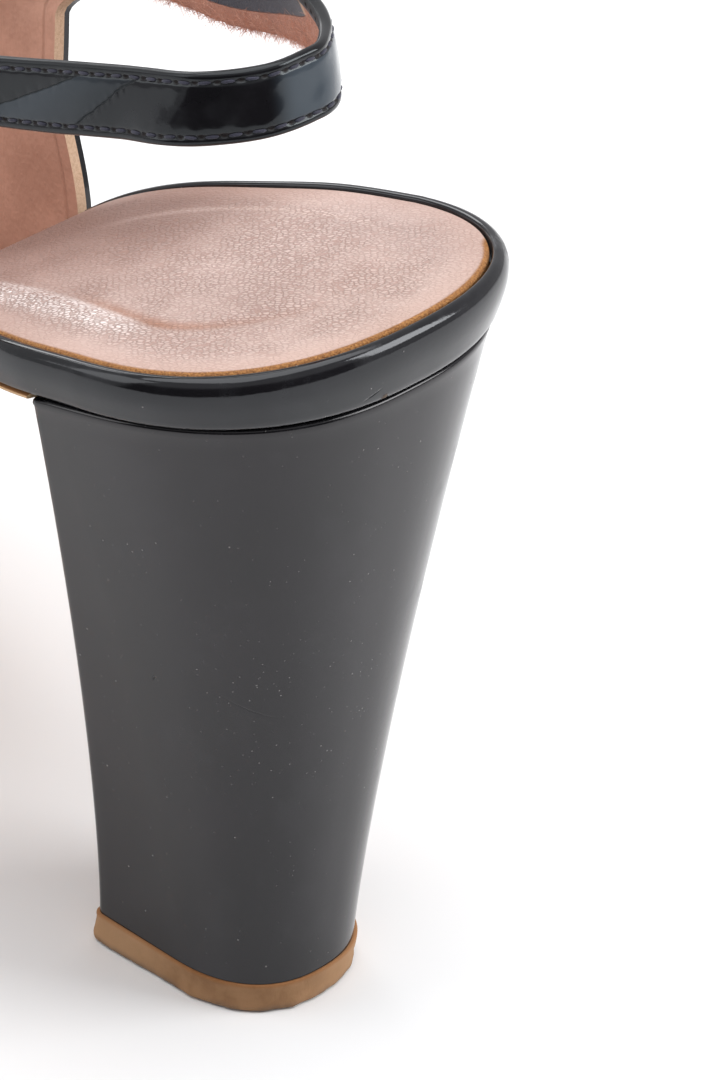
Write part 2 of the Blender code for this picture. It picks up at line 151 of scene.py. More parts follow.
def ringFaces(rings, count, closed=True):
    i = np.arange(count if closed else count - 1)
    j = (i + 1) % count
    k = np.arange(rings - 1)[:, None] * count
    return np.stack([k + i, k + j, k + count + j, k + count + i], -1).reshape(-1, 4).tolist()


def spreadRows(points, lefts, rights, across, lift):  # rows of points from the inner to the outer edge
    a, b = points[lefts], points[rights]
    share = np.arange(1, across) / across
    inner = a[:, None] + (b - a)[:, None] * share[None, :, None]
    inner[..., 2] += lift(inner[..., 0], inner[..., 1], share[None, :])
    made = len(points) + np.arange(len(lefts) * (across - 1)).reshape(len(lefts), across - 1)
    rows = np.concatenate([np.array(lefts)[:, None], made, np.array(rights)[:, None]], 1)
    return np.concatenate([points, inner.reshape(-1, 3)]), rows


def rowFaces(rows, back=None, tip=None, flip=False):
    faces = np.stack([rows[:-1, :-1], rows[:-1, 1:], rows[1:, 1:], rows[1:, :-1]], -1).reshape(-1, 4).tolist()
    if back is not None:
        faces += [[back, b, a] for a, b in zip(rows[0][:-1].tolist(), rows[0][1:].tolist())]
    if tip is not None:
        faces += [[a, b, tip] for a, b in zip(rows[-1][:-1].tolist(), rows[-1][1:].tolist())]
    return [f[::-1] for f in faces] if flip else faces


def tubeFaces(base, rings, sides):  # a closed tube whose points begin at base
    faces = [tuple(base + v for v in f) for f in ringFaces(rings, sides)]
    first = tuple(base + k for k in range(sides))
    return faces + [first[::-1], tuple((rings - 1) * sides + v for v in first)]


def distanceTo(line, points):
    return np.array([np.sqrt(((line - p) ** 2).sum(1).min()) for p in points])


def closedLoaf(rings, across, upperLift, lowerLift):  # rings from the upper to the lower, closed above and below
    points, count = np.concatenate(rings), len(rings[0])
    side = count // 2 - 1
    faces = ringFaces(len(rings), count)
    for base, lift, flip in ((0, upperLift, False), ((len(rings) - 1) * count, lowerLift, True)):
        lefts = [base + i for i in range(1, side + 1)]
        rights = [base + count - i for i in range(1, side + 1)]
        points, rows = spreadRows(points, lefts, rights, across, lift)
        faces += rowFaces(rows, base, base + side + 1, flip)
    return points, faces


def addPiece(name, points, faces, finishes, node, faceFinish=None, marks=None):
    mesh = bpy.data.meshes.new(name)
    mesh.from_pydata((np.asarray(points) * mm + shoeZero).tolist(), [], faces)
    for finish in finishes:
        mesh.materials.append(finish)
    mesh.polygons.foreach_set("use_smooth", [True] * len(mesh.polygons))
    if faceFinish is not None:
        mesh.polygons.foreach_set("material_index", np.asarray(faceFinish, np.int32))
    for mark, values in (marks or {}).items():
        mesh.attributes.new(mark, "FLOAT", "POINT").data.foreach_set("value", np.asarray(values, np.float32))
    mesh.set_sharp_from_angle(angle=sharpAngle)
    mesh.update()
    piece = bpy.data.objects.new(name, mesh)
    bpy.context.scene.collection.objects.link(piece)
    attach(piece, "root")
    if node:
        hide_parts(node)


class Wire:  # one shader socket: sums on it add Math nodes
    def __init__(self, finish, socket):
        self.finish, self.socket = finish, socket

    def sum(self, operation, first, second=0.0):
        return self.finish.node("ShaderNodeMath", {"operation": operation}, {0: first, 1: second})

    def __add__(self, other): return self.sum("ADD", self, other)
    def __radd__(self, other): return self.sum("ADD", other, self)
    def __sub__(self, other): return self.sum("SUBTRACT", self, other)
    def __rsub__(self, other): return self.sum("SUBTRACT", other, self)
    def __mul__(self, other): return self.sum("MULTIPLY", self, other)
    def __rmul__(self, other): return self.sum("MULTIPLY", other, self)
    def __truediv__(self, other): return self.sum("DIVIDE", self, other)
    def __rtruediv__(self, other): return self.sum("DIVIDE", other, self)
    def __pow__(self, other): return self.sum("POWER", self, other)
    def __abs__(self): return self.sum("ABSOLUTE", self)

    def rise(self, low, high):  # soft step from 0 at low to 1 at high
        return self.finish.node("ShaderNodeMapRange", {"interpolation_type": "SMOOTHSTEP"},
                                {"Value": self, "From Min": low, "From Max": high})

    def peak(self, at, width):  # soft hump of height 1
        return 1 - abs(self - at).rise(0.0, width)


class Bench:  # a node tree that is built up node by node
    def __init__(self, owner):
        owner.use_nodes = True
        self.tree = owner.node_tree
        self.tree.nodes.clear()

    def feed(self, socket, value):
        if isinstance(value, Wire):
            self.tree.links.new(value.socket, socket)
        else:
            socket.default_value = value

    def node(self, kind, settings, values, output=0):
        made = self.tree.nodes.new(kind)
        for name, value in settings.items():
            setattr(made, name, value)
        for name, value in values.items():
            self.feed(made.inputs[name], value)
        return None if output is None else Wire(self, made.outputs[output])

    def axes(self, point):
        return [self.node("ShaderNodeSeparateXYZ", {}, {"Vector": point}, k) for k in range(3)]

    def mix(self, share, first, second):
        return self.node("ShaderNodeMix", {"data_type": "RGBA"}, {0: share, 6: first, 7: second}, 2)


class Finish(Bench):
    def __init__(self, name, constants):
        self.material = bpy.data.materials.new(name)
        super().__init__(self.material)
        self.surface = self.node("ShaderNodeBsdfPrincipled", {}, constants)
        self.node("ShaderNodeOutputMaterial", {}, {"Surface": self.surface}, None)

    def set(self, values):
        for name, value in values.items():
            self.feed(self.surface.socket.node.inputs[name], value)

    def point(self, stretch=(1.0, 1.0, 1.0)):  # the place on the shoe in mm
        place = self.node("ShaderNodeTexCoord", {}, {}, "Object")
        place = self.node("ShaderNodeVectorMath", {"operation": "SUBTRACT"}, {0: place, 1: tuple(shoeZero)})
        return self.node("ShaderNodeVectorMath", {"operation": "MULTIPLY"},
                         {0: place, 1: tuple(s / mm for s in stretch)})

    def noise(self, point, scale, detail=2.0, rough=0.5):
        return self.node("ShaderNodeTexNoise", {}, {"Vector": point, "Scale": scale, "Detail": detail,
                                                    "Roughness": rough}, 0)

    def cells(self, point, scale, feature="F1", output="Distance", loose=1.0):
        return self.node("ShaderNodeTexVoronoi", {"feature": feature},
                         {"Vector": point, "Scale": scale, "Randomness": loose}, output)

    def mark(self, name):
        return self.node("ShaderNodeAttribute", {"attribute_name": name}, {}, "Fac")

    def specks(self, point, spacing, size, kept):  # scattered dots, size in mm, kept as a share of the cells
        nearest = self.cells(point, 1 / spacing)
        pick = self.node("ShaderNodeSeparateColor", {}, {0: self.cells(point, 1 / spacing, "F1", "Color")}, 0)
        return nearest.rise(size / spacing, 0.4 * size / spacing) * pick.rise(1 - kept, 1 - 0.6 * kept)

    def coats(self, tone, *layers):  # each layer is a share and the colour laid over the ones before
        for share, colour in layers:
            tone = self.mix(share, tone, colour)
        return tone

    def done(self, tone, rough, height):  # height in mm
        bump = self.node("ShaderNodeBump", {}, {"Strength": 1.0, "Distance": mm, "Height": height})
        self.set({"Base Color": tone, "Roughness": rough, "Normal": bump})
        return self.material


def rgb(*screen):  # linear colour from a screen colour
    parts = [c / 255 for c in screen]
    return (*(((c + 0.055) / 1.055) ** 2.4 if c > 0.04 else c / 12.92 for c in parts), 1.0)


def patentNodes(name, look):  # the skin with its colour, roughness and height, which wear can still change
    skin = Finish(name, {"IOR": look["ior"], "Specular Tint": look["gloss"]})
    point = skin.point()
    broad = skin.noise(point, look["broadScale"], 2.0)
    smudge = skin.noise(point, look["smudgeScale"], 4.0, 0.6).rise(0.48, 0.72)
    dust = skin.specks(point, *look["dust"])
    body = skin.coats(
        look["dark"],
        (broad.rise(0.35, 0.7), look["pale"]),
        (smudge * look["haze"], look["hazeColour"]),
        (dust * 0.8, look["dustColour"]))
    wave = skin.noise(point, look["waveScale"], 1.0)
    peel = skin.noise(point, look["peelScale"], 2.0)
    rough = look["rough"] + smudge * look["smudgeRough"] + dust * 0.5
    return skin, body, rough, wave * look["wave"] + peel * look["peel"] + dust * 0.03


patent = {  # the leather of heel, rim, upper and strap
    "ior": 1.49, "gloss": (1, 0.98, 1, 1), "rough": 0.13, "smudgeRough": 0.10, "smudgeScale": 0.22,
    "dark": (0.007, 0.007, 0.008, 1), "pale": (0.011, 0.010, 0.012, 1), "broadScale": 0.06,
    "haze": 0.2, "hazeColour": (0.03, 0.03, 0.034, 1),
    "wave": 0.10, "waveScale": 0.05, "peel": 0.004, "peelScale": 1.6,
    "dust": (1.9, 0.14, 0.5), "dustColour": (0.30, 0.29, 0.28, 1),  # dust: spacing, size, share kept
}


sock = {
    "thick": 1.2, "across": 96,
    "rounding": ((0.60, 0.0), (0.34, 0.03), (0.14, 0.12), (0.03, 0.28), (0.0, 0.5)),  # inward, down
    "pad": {"x": 26.0, "y": -4.9, "back": 12.0, "front": 29.0, "near": 17.6, "far": 13.2, "power": 1.85,
            "rise": 0.3, "groove": 0.16, "grooveAt": 1.06},  # the soft heel pad under the sock
    "puff": {"y": 16.4, "drift": 0.12, "driftX": 30.0, "half": 2.7, "from": (20.0, 12.0), "to": (78.0, -25.0),
             "rise": 0.85, "wrinkle": 0.06},  # the soft ridge along the inner side
    "folds": ((1.0, 0.45, 4.3, 0.0), (0.6, -0.2, 2.7, 1.0)),  # height, slant, length, phase
    "hidden": ((1.2, -19.5, -4.0), (0.3, 30.0, 15.0)),  # cut edge covered on the outer side, thin in the waist
    "grain": 2.05, "loose": 0.75, "lay": ((0.52, 0.49), (-0.69, 0.72)),  # the grain lies aslant
    "leather": rgb(202, 178, 170), "front": rgb(157, 124, 114), "back": rgb(203, 179, 170),
    # the three tones on the next line are painted shade, painted light and painted shade
    "paintedShadeFront": rgb(124, 94, 84), "lit": rgb(220, 197, 190), "shade": rgb(180, 158, 152),
    "border": rgb(184, 148, 132), "groove": rgb(162, 104, 68), "outline": rgb(232, 208, 198),
    "ridgeHighlight": rgb(248, 234, 230), "line": rgb(136, 98, 84), "edge": rgb(118, 74, 38), "edgePale": rgb(176, 124, 70),
}


def padReach(x, y):  # 0 in the middle of the pad, 1 on its outline
    pad = sock["pad"]
    along = np.where(x < pad["x"], (pad["x"] - x) / pad["back"], (x - pad["x"]) / pad["front"])
    across = np.where(y > pad["y"], (y - pad["y"]) / pad["near"], (pad["y"] - y) / pad["far"])
    return (np.abs(along) ** pad["power"] + np.abs(across) ** pad["power"]) ** (1 / pad["power"])


def puffSwell(x, y):
    puff = sock["puff"]
    swell = bell((y - puff["y"] - puff["drift"] * (puff["driftX"] - x)) / puff["half"])
    return swell * ramp(x, *puff["from"]) * ramp(x, *puff["to"])


def sockRelief(x, y, share):
    pad, puff = sock["pad"], sock["puff"]
    reach = padReach(x, y)
    groove = pad["groove"] * bell((reach - pad["grooveAt"]) / 0.06) * ramp(y, -4.0, 8.0)
    cushion = pad["rise"] * ramp(reach, 1.05, -0.25) - groove
    folds = sum(high * np.sin(fullTurn * (x + slant * y) / long + phase)
                for high, slant, long, phase in sock["folds"])
    fade = ease(np.minimum(share, 1 - share) * 2 * plan(x)[1] / 2.6)
    return seatHollow(x, y, share) + fade * (cushion + puffSwell(x, y) * (puff["rise"] + puff["wrinkle"] * folds))


def sockFinish():
    hide = Finish("sock_leather", {"IOR": 1.45, "Specular IOR Level": 0.5})
    point = hide.point()
    x, y, z = hide.axes(point)
    reach, edge, puff = hide.mark("pad"), hide.mark("edge"), hide.mark("puff")
    mottle = hide.noise(point, 0.5, 4.0, 0.65)
    fibre = hide.noise(point, 4.0, 4.0, 0.75)
    worn = hide.noise(point, 0.12, 2.0).rise(0.35, 0.6)
    along, across = (a * x + b * y for a, b in sock["lay"])
    lay = hide.node("ShaderNodeCombineXYZ", {}, {0: along, 1: across, 2: z})
    warp = hide.node("ShaderNodeTexNoise", {}, {"Vector": lay, "Scale": 1.1, "Detail": 2.0}, "Color")
    warp = hide.node("ShaderNodeVectorMath", {"operation": "MULTIPLY"}, {0: warp, 1: (0.5, 0.5, 0.5)})
    lay = hide.node("ShaderNodeVectorMath", {"operation": "ADD"}, {0: lay, 1: warp})
    furrow = hide.cells(lay, sock["grain"], "DISTANCE_TO_EDGE", loose=sock["loose"]).rise(0.22, 0.03)
    pebble = hide.cells(lay, sock["grain"], "SMOOTH_F1", loose=sock["loose"])
    grained = 0.45 + 0.55 * edge.rise(2.0, 7.0)  # smoother toward the border
    grooveAt = sock["pad"]["grooveAt"]
    crescent = reach.peak(grooveAt, 0.12) * y.rise(-3.0, 8.0) * x.rise(42.0, 31.0)
    crescent = crescent * (0.35 + 0.65 * x.rise(16.0, 24.0))
    outline = reach.peak(1.04, 0.08) * y.rise(-4.0, -10.0) * x.rise(60.0, 48.0) * x.rise(17.0, 25.0)
    cut = edge.rise(0.75 + 0.5 * hide.noise(point, 0.9, 4.0, 0.7), 0.45)  # raw edge against the rim
    tone = hide.coats(
        sock["leather"],
        (x.rise(26.0, 62.0), sock["front"]),
        (x.rise(20.0, 4.0) * 0.7, sock["back"]),
        # painted shade on the outer side toward the front, painted light near the inner middle, painted shade on the
        # outer back
        (x.rise(32.0, 54.0) * y.rise(9.0, -6.0) * 0.8, sock["paintedShadeFront"]),
        (x.peak(29.0, 12.0) * y.rise(8.0, 0.0) * 0.5, sock["lit"]),
        (y.rise(-11.0, -18.0) * x.rise(34.0, 26.0) * 0.45, sock["shade"]),
        (mottle.rise(0.35, 0.75) * 0.12, sock["front"]),
        (hide.noise(point, 0.05, 3.0).rise(0.4, 0.7) * 0.15, sock["back"]),
        (crescent * (0.35 + 0.6 * mottle), sock["groove"]),
        (outline * 0.25, sock["outline"]),
        (edge.rise(6.0, 1.0) * 0.35, sock["border"]),
        (puff.rise(0.1, 0.8) * (0.9 - 0.6 * furrow), sock["ridgeHighlight"]),  # painted highlight and glints along the ridge
        (furrow * (0.34 + 0.2 * worn) * grained, sock["line"]),
        (cut, hide.mix(fibre.rise(0.35, 0.65), sock["edge"], sock["edgePale"])))
    pits = (0.10 + 0.05 * worn + 0.06 * puff) * grained * (pebble + 0.8 * furrow)
    rough = 0.52 + 0.2 * mottle - 0.4 * puff + 0.2 * cut
    return hide.done(tone, rough, 0.05 * mottle + 0.1 * cut * fibre - pits)


def buildSock():
    x, y, nx, ny = outlineLoop(stationsAlong())
    z, keep = sockZ(x), upperEase(x)
    section = (*sock["rounding"], (0.0, sock["thick"]))
    rings = [np.stack([x - nx * (i + keep), y - ny * (i + keep), z - d], 1) for i, d in section]
    points, faces = closedLoaf(rings, sock["across"], sockRelief, seatHollow)
    far = distanceTo(np.stack([x, y], 1), points[:, :2])
    px, py = points[:, 0], points[:, 1]
    cover = sum(high * ramp(v, *run) for v, (high, *run) in zip((py, px), sock["hidden"]))
    marks = {"pad": padReach(px, py), "puff": puffSwell(px, py), "edge": np.maximum(far - upperEase(px), 0) + cover}
    addPiece("sock", points, faces, [sockFinish()], "insole", None, marks)
    print("sock made:", len(faces), "faces")


rim = {
    "section": ((0.30, 1.50, 0.0), (0.30, 0.35, 0.0), (0.36, 0.02, 0.0), (0.55, -0.17, 0.0), (0.80, -0.24, 0.0),
                (1.10, -0.22, 0.0), (1.40, -0.10, 0.0), (1.68, 0.14, 0.0), (1.92, 0.47, 0.0), (2.10, 0.92, 0.0),
                (2.20, 1.35, 0.0), (2.24, 1.75, 0.06), (2.20, 1.75, 0.22), (2.05, 1.70, 0.40), (1.82, 1.60, 0.60),
                (1.60, 1.50, 0.77), (1.46, 1.50, 0.87), (1.28, 1.50, 0.94), (1.00, 1.50, 0.985),
                (0.60, 1.50, 1.0)),  # outward, down, share of the board's depth
    "step": 72.9, "stepLength": 0.2, "clear": 0.6, "across": 10,  # the rim ends in a step under the quarters
    "patent": dict(patent, gloss=(0.93, 0.96, 1, 1), rough=0.1, haze=0.3, wave=0.12, waveScale=0.12, peel=0.008),
    "scratch": {"y": 6.2, "z": 87.2, "slope": 0.45, "middle": 6.6, "half": 1.3, "width": 0.22,
                "dark": (0.004, 0.005, 0.006, 1)},  # above the seam
    "dirt": {"y": 4.7, "z": 86.0, "wide": 0.6, "high": 0.5, "colour": rgb(96, 72, 48)},  # one grain in the seam
    "corner": {"x": 7.5, "y": -21.5, "long": 3.5, "wide": 2.8, "frays": (0.55, 0.16, 0.5),
               "colour": (0.12, 0.12, 0.13, 1)},  # rubbed rough
}


def rimFinish():
    skin, body, rough, bump = patentNodes("rim_patent", rim["patent"])
    scratch, dirt, corner, point = rim["scratch"], rim["dirt"], rim["corner"], skin.point()
    x, y, z = skin.axes(point)
    near = x.rise(6.0, 3.0)
    line = (z - scratch["z"] - scratch["slope"] * (scratch["y"] - y)).peak(0.0, scratch["width"])
    line = line * y.peak(scratch["middle"], scratch["half"]) * near
    spot = z.peak(dirt["z"], dirt["high"]) * y.peak(dirt["y"], dirt["wide"]) * near
    frayed = skin.specks(point, *corner["frays"]) + 0.5 * skin.noise(point, 4.0, 4.0, 0.8)
    frayed = y.peak(corner["y"], corner["wide"]) * x.peak(corner["x"], corner["long"]) * frayed
    body = skin.coats(body, (line * 0.8, scratch["dark"]), (spot, dirt["colour"]), (frayed * 0.45, corner["colour"]))
    rough = rough + 0.3 * line + 0.6 * spot + 0.5 * frayed
    return skin.done(body, rough, bump - 0.1 * line + 0.1 * spot + 0.15 * frayed)


def buildRim():
    xs = stationsAlong()
    step = rim["step"], rim["step"] + rim["stepLength"]
    xs = np.sort(np.concatenate([xs[np.abs(xs - step[0]) > rim["clear"]], step]))
    x, y, nx, ny = outlineLoop(xs)
    z, depth = sockZ(x), boardDepth(x)
    shown = x < sum(step) / 2
    top = sock["thick"] + last["gap"]
    rings = []
    for i, (out, down, share) in enumerate(rim["section"]):
        covered = top + (depth - top) * i / (len(rim["section"]) - 1)
        drop = np.where(shown, down + share * (depth - down), covered)
        reach = np.where(shown, out, -upperEase(x))
        rings.append(np.stack([x + nx * reach, y + ny * reach, z - drop], 1))
    points, faces = closedLoaf(rings, rim["across"], seatHollow, noLift)
    addPiece("rim", points, faces, [rimFinish()], "rim_board")
    print("rim made:", len(faces), "faces")


heel = {
    "low": {"back": 8.85, "half": 11.45, "depth": 12.8, "round": 2.34, "front": 34.4},
    "high": {"back": 0.43, "half": 26.55, "depth": 28.1, "round": 2.48, "front": 31.6},
    "flare": 1.37, "lean": 1.26, "corner": 1.2, "foot": 3.87,
    "levels": 46, "roundStations": 42, "sideStations": 12, "cornerStations": 8, "across": 28,
    "edge": ((0.55, 0.0), (0.32, 0.04), (0.14, 0.14), (0.03, 0.32), (0.0, 0.6)),  # rounding under the rim
    "top": 0.985,  # share of the height where the rounding ends
    "patent": patent,
    "scuff": {"from": (9.7, 12.7, 44.6), "way": (0.71, 0.70), "middle": 0.2, "half": 4.2, "width": 0.2,
              "climb": 0.44, "bow": 0.03},  # halfway up the inner side
    "nick": {"x": 20.1, "z": 46.2, "lean": 0.5, "width": 0.3, "height": 0.55},
    "grit": (0.66, 0.12, 0.55), "lint": (1.0, 0.1, 0.5),  # spacing, size, share kept
    "scuffed": (0.003, 0.003, 0.003, 1),
}


def heelFinish():
    skin, body, rough, bump = patentNodes("heel_patent", heel["patent"])
    mark, cut, point = heel["scuff"], heel["nick"], skin.point()
    x, y, z = skin.axes(point)
    along = mark["way"][0] * (x - mark["from"][0]) + mark["way"][1] * (y - mark["from"][1])
    rise = z - mark["from"][2]
    curve = rise - mark["climb"] * along - mark["bow"] * along * along
    scuff = y.rise(6.0, 9.0) * x.rise(24.0, 18.0) * along.peak(mark["middle"], mark["half"])
    scuff = scuff * curve.peak(0.0, mark["width"])
    nick = (x - cut["x"] + cut["lean"] * (z - cut["z"])).peak(0.0, cut["width"])
    nick = nick * z.peak(cut["z"], cut["height"]) * y.rise(10.0, 14.0)
    grit = skin.specks(point, *heel["grit"]) * skin.noise(point, 0.35, 3.0, 0.6).rise(0.40, 0.55)
    grit = grit * (along + 2.5).rise(12.0, 3.0) * (rise + 1.0).peak(0.0, 16.0) * y.rise(-6.0, 2.0)
    grit = grit + 0.3 * skin.specks(point, *heel["lint"])
    dulled = skin.noise(skin.point((1.0, 1.0, 0.12)), 0.5, 3.0, 0.6).rise(0.55, 0.8)
    body = skin.coats(body, (scuff * 0.6 + nick, heel["scuffed"]), (grit, heel["patent"]["dustColour"]))
    rough = rough + 0.3 * scuff + 0.5 * nick + 0.5 * grit + 0.05 * dulled
    return skin.done(body, rough, bump - 0.035 * scuff - 0.1 * nick)


def seamZ(x):
    return sockZ(x) - boardDepth(x) - last["gap"]


def heelRing(share, inset=0.0):  # back point, inner side, breast, outer side
    wide, lean = share ** heel["flare"], share ** heel["lean"]
    size = {k: heel["low"][k] + (heel["high"][k] - heel["low"][k]) * (lean if k == "back" else wide)
            for k in heel["low"]}
    back, front, half = size["back"] + inset, size["front"] - inset, size["half"] - inset
    along = size["depth"] * (1 - np.cos(np.linspace(0, quarterTurn, heel["roundStations"])))
    y = half * (1 - (1 - along / size["depth"]) ** size["round"]) ** (1 / size["round"])
    r = heel["corner"]
    x = np.minimum(back + along, front - r - 0.2)
    straight = np.linspace(x[-1], front - r, heel["sideStations"])[1:-1]
    turn = np.linspace(quarterTurn, 0, heel["cornerStations"])
    x = np.concatenate([x, straight, front - r + r * np.cos(turn)])
    y = np.concatenate([y, np.full(len(straight), half), half - r + r * np.sin(turn)])
    breast = np.linspace(y[-1], -y[-1], heel["across"] + 1)[1:-1]
    return np.concatenate([x, np.full(len(breast), front), x[:0:-1]]), np.concatenate([y, breast, -y[:0:-1]])


def heelLoaf(rings):  # the same closed form with a straight breast
    points, count = np.concatenate(rings), len(rings[0])
    side = (count - heel["across"]) // 2
    faces = ringFaces(len(rings), count)
    for base, flip in ((0, False), ((len(rings) - 1) * count, True)):
        lefts = [base + i for i in range(1, side)]
        rights = [base + count - i for i in range(1, side)]
        points, rows = spreadRows(points, lefts, rights, heel["across"], noLift)
        rows = np.concatenate([rows, base + side + np.arange(heel["across"] + 1)[None]])
        faces += rowFaces(rows, base, None, flip)
    return points, faces


def buildHeel():
    topX = np.maximum(heelRing(1.0)[0], last["seatBack"] + 1.0)
    levels = [(1.0, inset, drop) for inset, drop in heel["edge"]]
    levels += [(s, 0.0, 0.0) for s in np.linspace(heel["top"], 0.0, heel["levels"])]
    rings = []
    for share, inset, drop in levels:
        x, y = heelRing(share, inset)
        rings.append(np.stack([x, y, heel["foot"] + (seamZ(topX) - heel["foot"]) * share - drop], 1))
    points, faces = heelLoaf(rings)
    addPiece("heel_cover", points, faces, [heelFinish()], "heel_block")
    print("heel made:", len(faces), "faces")


tip = {
    "levels": ((0.08, 3.8), (0.17, 3.74), (0.18, 3.5), (0.10, 3.1), (0.07, 2.4), (0.05, 1.8), (0.06, 1.25),
               (0.08, 0.8), (0.08, 0.45), (0.03, 0.2), (-0.08, 0.06), (-0.25, 0.0)),  # proud of the heel, height
    "flares": ((137.0, 0.42, 34.0, 0.3, 2.6),
               (-46.0, 0.28, 30.0, 2.9, 1.0)),  # angle, reach, spread, height, half height
    "burrs": ((-58.0, 0.35, 3.0), (20.0, 0.25, 2.5), (75.0, 0.3, 4.0)),  # angle, reach, spread in degrees
    "ragged": ((0.05, 9, 1.0), (0.04, 23, 0.0), (0.03, 41, 2.0)),  # reach, waves round the foot, phase
    "frayed": (0.35, 0.45),  # height and half height of the ragged edge
    "rubber": rgb(154, 117, 84), "dark": rgb(130, 96, 66), "worn": rgb(120, 98, 80), "pale": rgb(188, 150, 114),
    "topBand": rgb(148, 92, 46), "grit": rgb(70, 52, 40),
}


def tipFinish():
    rubber = Finish("tip_rubber", {"IOR": 1.45, "Specular IOR Level": 0.25})
    point = rubber.point()
    x, y, z = rubber.axes(point)
    cloud = rubber.noise(point, 0.22, 4.0, 0.6)
    fine = rubber.noise(point, 2.2, 4.0, 0.7)
    streak = rubber.noise(rubber.point((1.0, 1.0, 0.25)), 1.1, 3.0, 0.6)
    tone = rubber.coats(
        tip["rubber"],
        (cloud.rise(0.3, 0.7), tip["dark"]),
        (streak.rise(0.5, 0.75) * 0.3, tip["dark"]),
        (y.rise(8.0, -6.0) * 0.6 + x.rise(18.0, 30.0) * y.rise(5.0, 10.0) * 0.6, tip["pale"]),
        # darker orange band along the top edge, under the heel
        (z.rise(3.2, 3.7) * 0.5, tip["topBand"]),
        (z.rise(1.1, 0.2) * cloud.rise(0.35, 0.6) * 0.7, tip["worn"]),
        (rubber.specks(point, 1.6, 0.14, 0.3) * 0.7, tip["grit"]))
    return rubber.done(tone, 0.62 + 0.25 * fine, 0.05 * fine + 0.05 * streak)


def buildTip():
    x, y = heelRing(0.0)
    centre = (x.min() + x.max()) / 2
    angle = np.arctan2(y, centre - x)  # 0 at the back, positive on the inner side
    turn = np.degrees(angle)
    ragged = sum(reach * np.sin(waves * angle + phase) for reach, waves, phase in tip["ragged"])
    ragged = ragged + sum(reach * bell((turn - at) / spread) for at, reach, spread in tip["burrs"])
    level, half = tip["frayed"]
    rings = []
    for proud, z in tip["levels"]:
        flare = sum(reach * bell((turn - at) / spread) * bell((z - middle) / high)
                    for at, reach, spread, middle, high in tip["flares"])
        size = 1 + (proud + flare + bell((z - level) / half) * ragged) / y.max()
        rings.append(np.stack([centre + (x - centre) * size, y * size, np.full(len(x), z)], 1))
    points, faces = heelLoaf(rings)
    addPiece("heel_tip_rubber", points, faces, [tipFinish()], "heel_tip")
    print("tip made:", len(faces), "faces")


sole = {
    "back": 32.2, "edgeBack": 0.5, "coreBack": 2.0, "front": 3.0, "thicken": (60.0, 80.0),
    "waistOut": 1.1, "ballOut": 1.7, "widen": (60.0, 40.0), "belly": 2.2, "clear": 0.6, "across": 22,
    "section": ((0.12, 0.0, 0.0), (0.02, 0.0, 0.1), (0.0, 0.5, 0.0), (0.03, 1.0, -0.28), (0.12, 1.0, -0.1),
                (0.35, 1.0, 0.0)),  # inward, share of the thickness, further down
    "leather": rgb(176, 122, 78), "edge": rgb(196, 138, 84), "worn": rgb(140, 104, 74), "side": rgb(226, 190, 146),
}


def soleFinish():
    hide = Finish("sole_leather", {"IOR": 1.45, "Specular IOR Level": 0.3})
    point = hide.point()
    x, _, z = hide.axes(point)
    cloud = hide.noise(point, 0.06, 4.0, 0.6)
    fibre = hide.noise(hide.point((0.2, 1.0, 1.0)), 1.4, 4.0, 0.7)
    scrape = hide.noise(hide.point((0.08, 1.0, 1.0)), 0.5, 3.0, 0.6)
    tread = z.rise(2.0, 0.3)  # where it meets the ground
    upright = abs(hide.axes(hide.node("ShaderNodeNewGeometry", {}, {}, "Normal"))[2]).rise(0.75, 0.3)
    tone = hide.coats(
        sole["leather"],
        (cloud.rise(0.3, 0.7), sole["edge"]),
        (tread * scrape.rise(0.4, 0.7) * 0.7, sole["worn"]),
        (upright * x.rise(110.0, 60.0), sole["side"]),  # bare cut edge in the waist: its pale tan, made paler still as painted light on an edge in shade
        (fibre.rise(0.4, 0.75) * 0.3, sole["worn"]))
    return hide.done(tone, 0.5 + 0.2 * fibre + tread * 0.15, 0.05 * fibre + 0.04 * scrape)


def soleThick(x, back):
    return back + (sole["front"] - back) * ramp(x, *sole["thicken"])


def buildSole():
    xs, back = stationsAlong(), sole["back"]
    loop = np.array(outlineLoop(np.concatenate([[back - 3.0, back], xs[xs > back + sole["clear"]]])))
    x, y, nx, ny = loop[:, loop[0] > back - 0.01]  # the first station only gives the next one its normal
    reach = sole["waistOut"] + (sole["ballOut"] - sole["waistOut"]) * ramp(x, *sole["widen"])
    thick, z = soleThick(x, sole["edgeBack"]), seamZ(x)
    rear = np.isclose(x, back)
    rings = []
    for inset, share, drop in sole["section"]:
        px, py = x + nx * (reach - inset), y + ny * (reach - inset)
        px[rear] = back
        rings.append(np.stack([px, py, z - share * thick - drop], 1))

    def belly(u, v, share):  # thicker in the middle than at the edge
        bulge = soleThick(u, sole["coreBack"]) - soleThick(u, sole["edgeBack"])
        return -bulge * np.minimum(1.0, sole["belly"] * np.sin(halfTurn * share))

    points, count = np.concatenate(rings), len(x)
    side = (count - 1) // 2
    faces = ringFaces(len(rings), count, False)
    ends = []
    for base, lift, flip in ((0, noLift, False), ((len(rings) - 1) * count, belly, True)):
        lefts, rights = [base + i for i in range(side)], [base + count - 1 - i for i in range(side)]
        points, rows = spreadRows(points, lefts, rights, sole["across"], lift)
        faces += rowFaces(rows, None, base + side, flip)
        ends.append(rows[0].tolist())
    between = range(1, len(rings) - 1)
    first, final = [k * count for k in between], [(k + 1) * count - 1 for k in between]
    faces.append(ends[0][::-1] + first + ends[1] + final[::-1])  # straight end against the heel
    addPiece("sole", points, faces, [soleFinish()], "outsole")
    print("sole made:", len(faces), "faces")


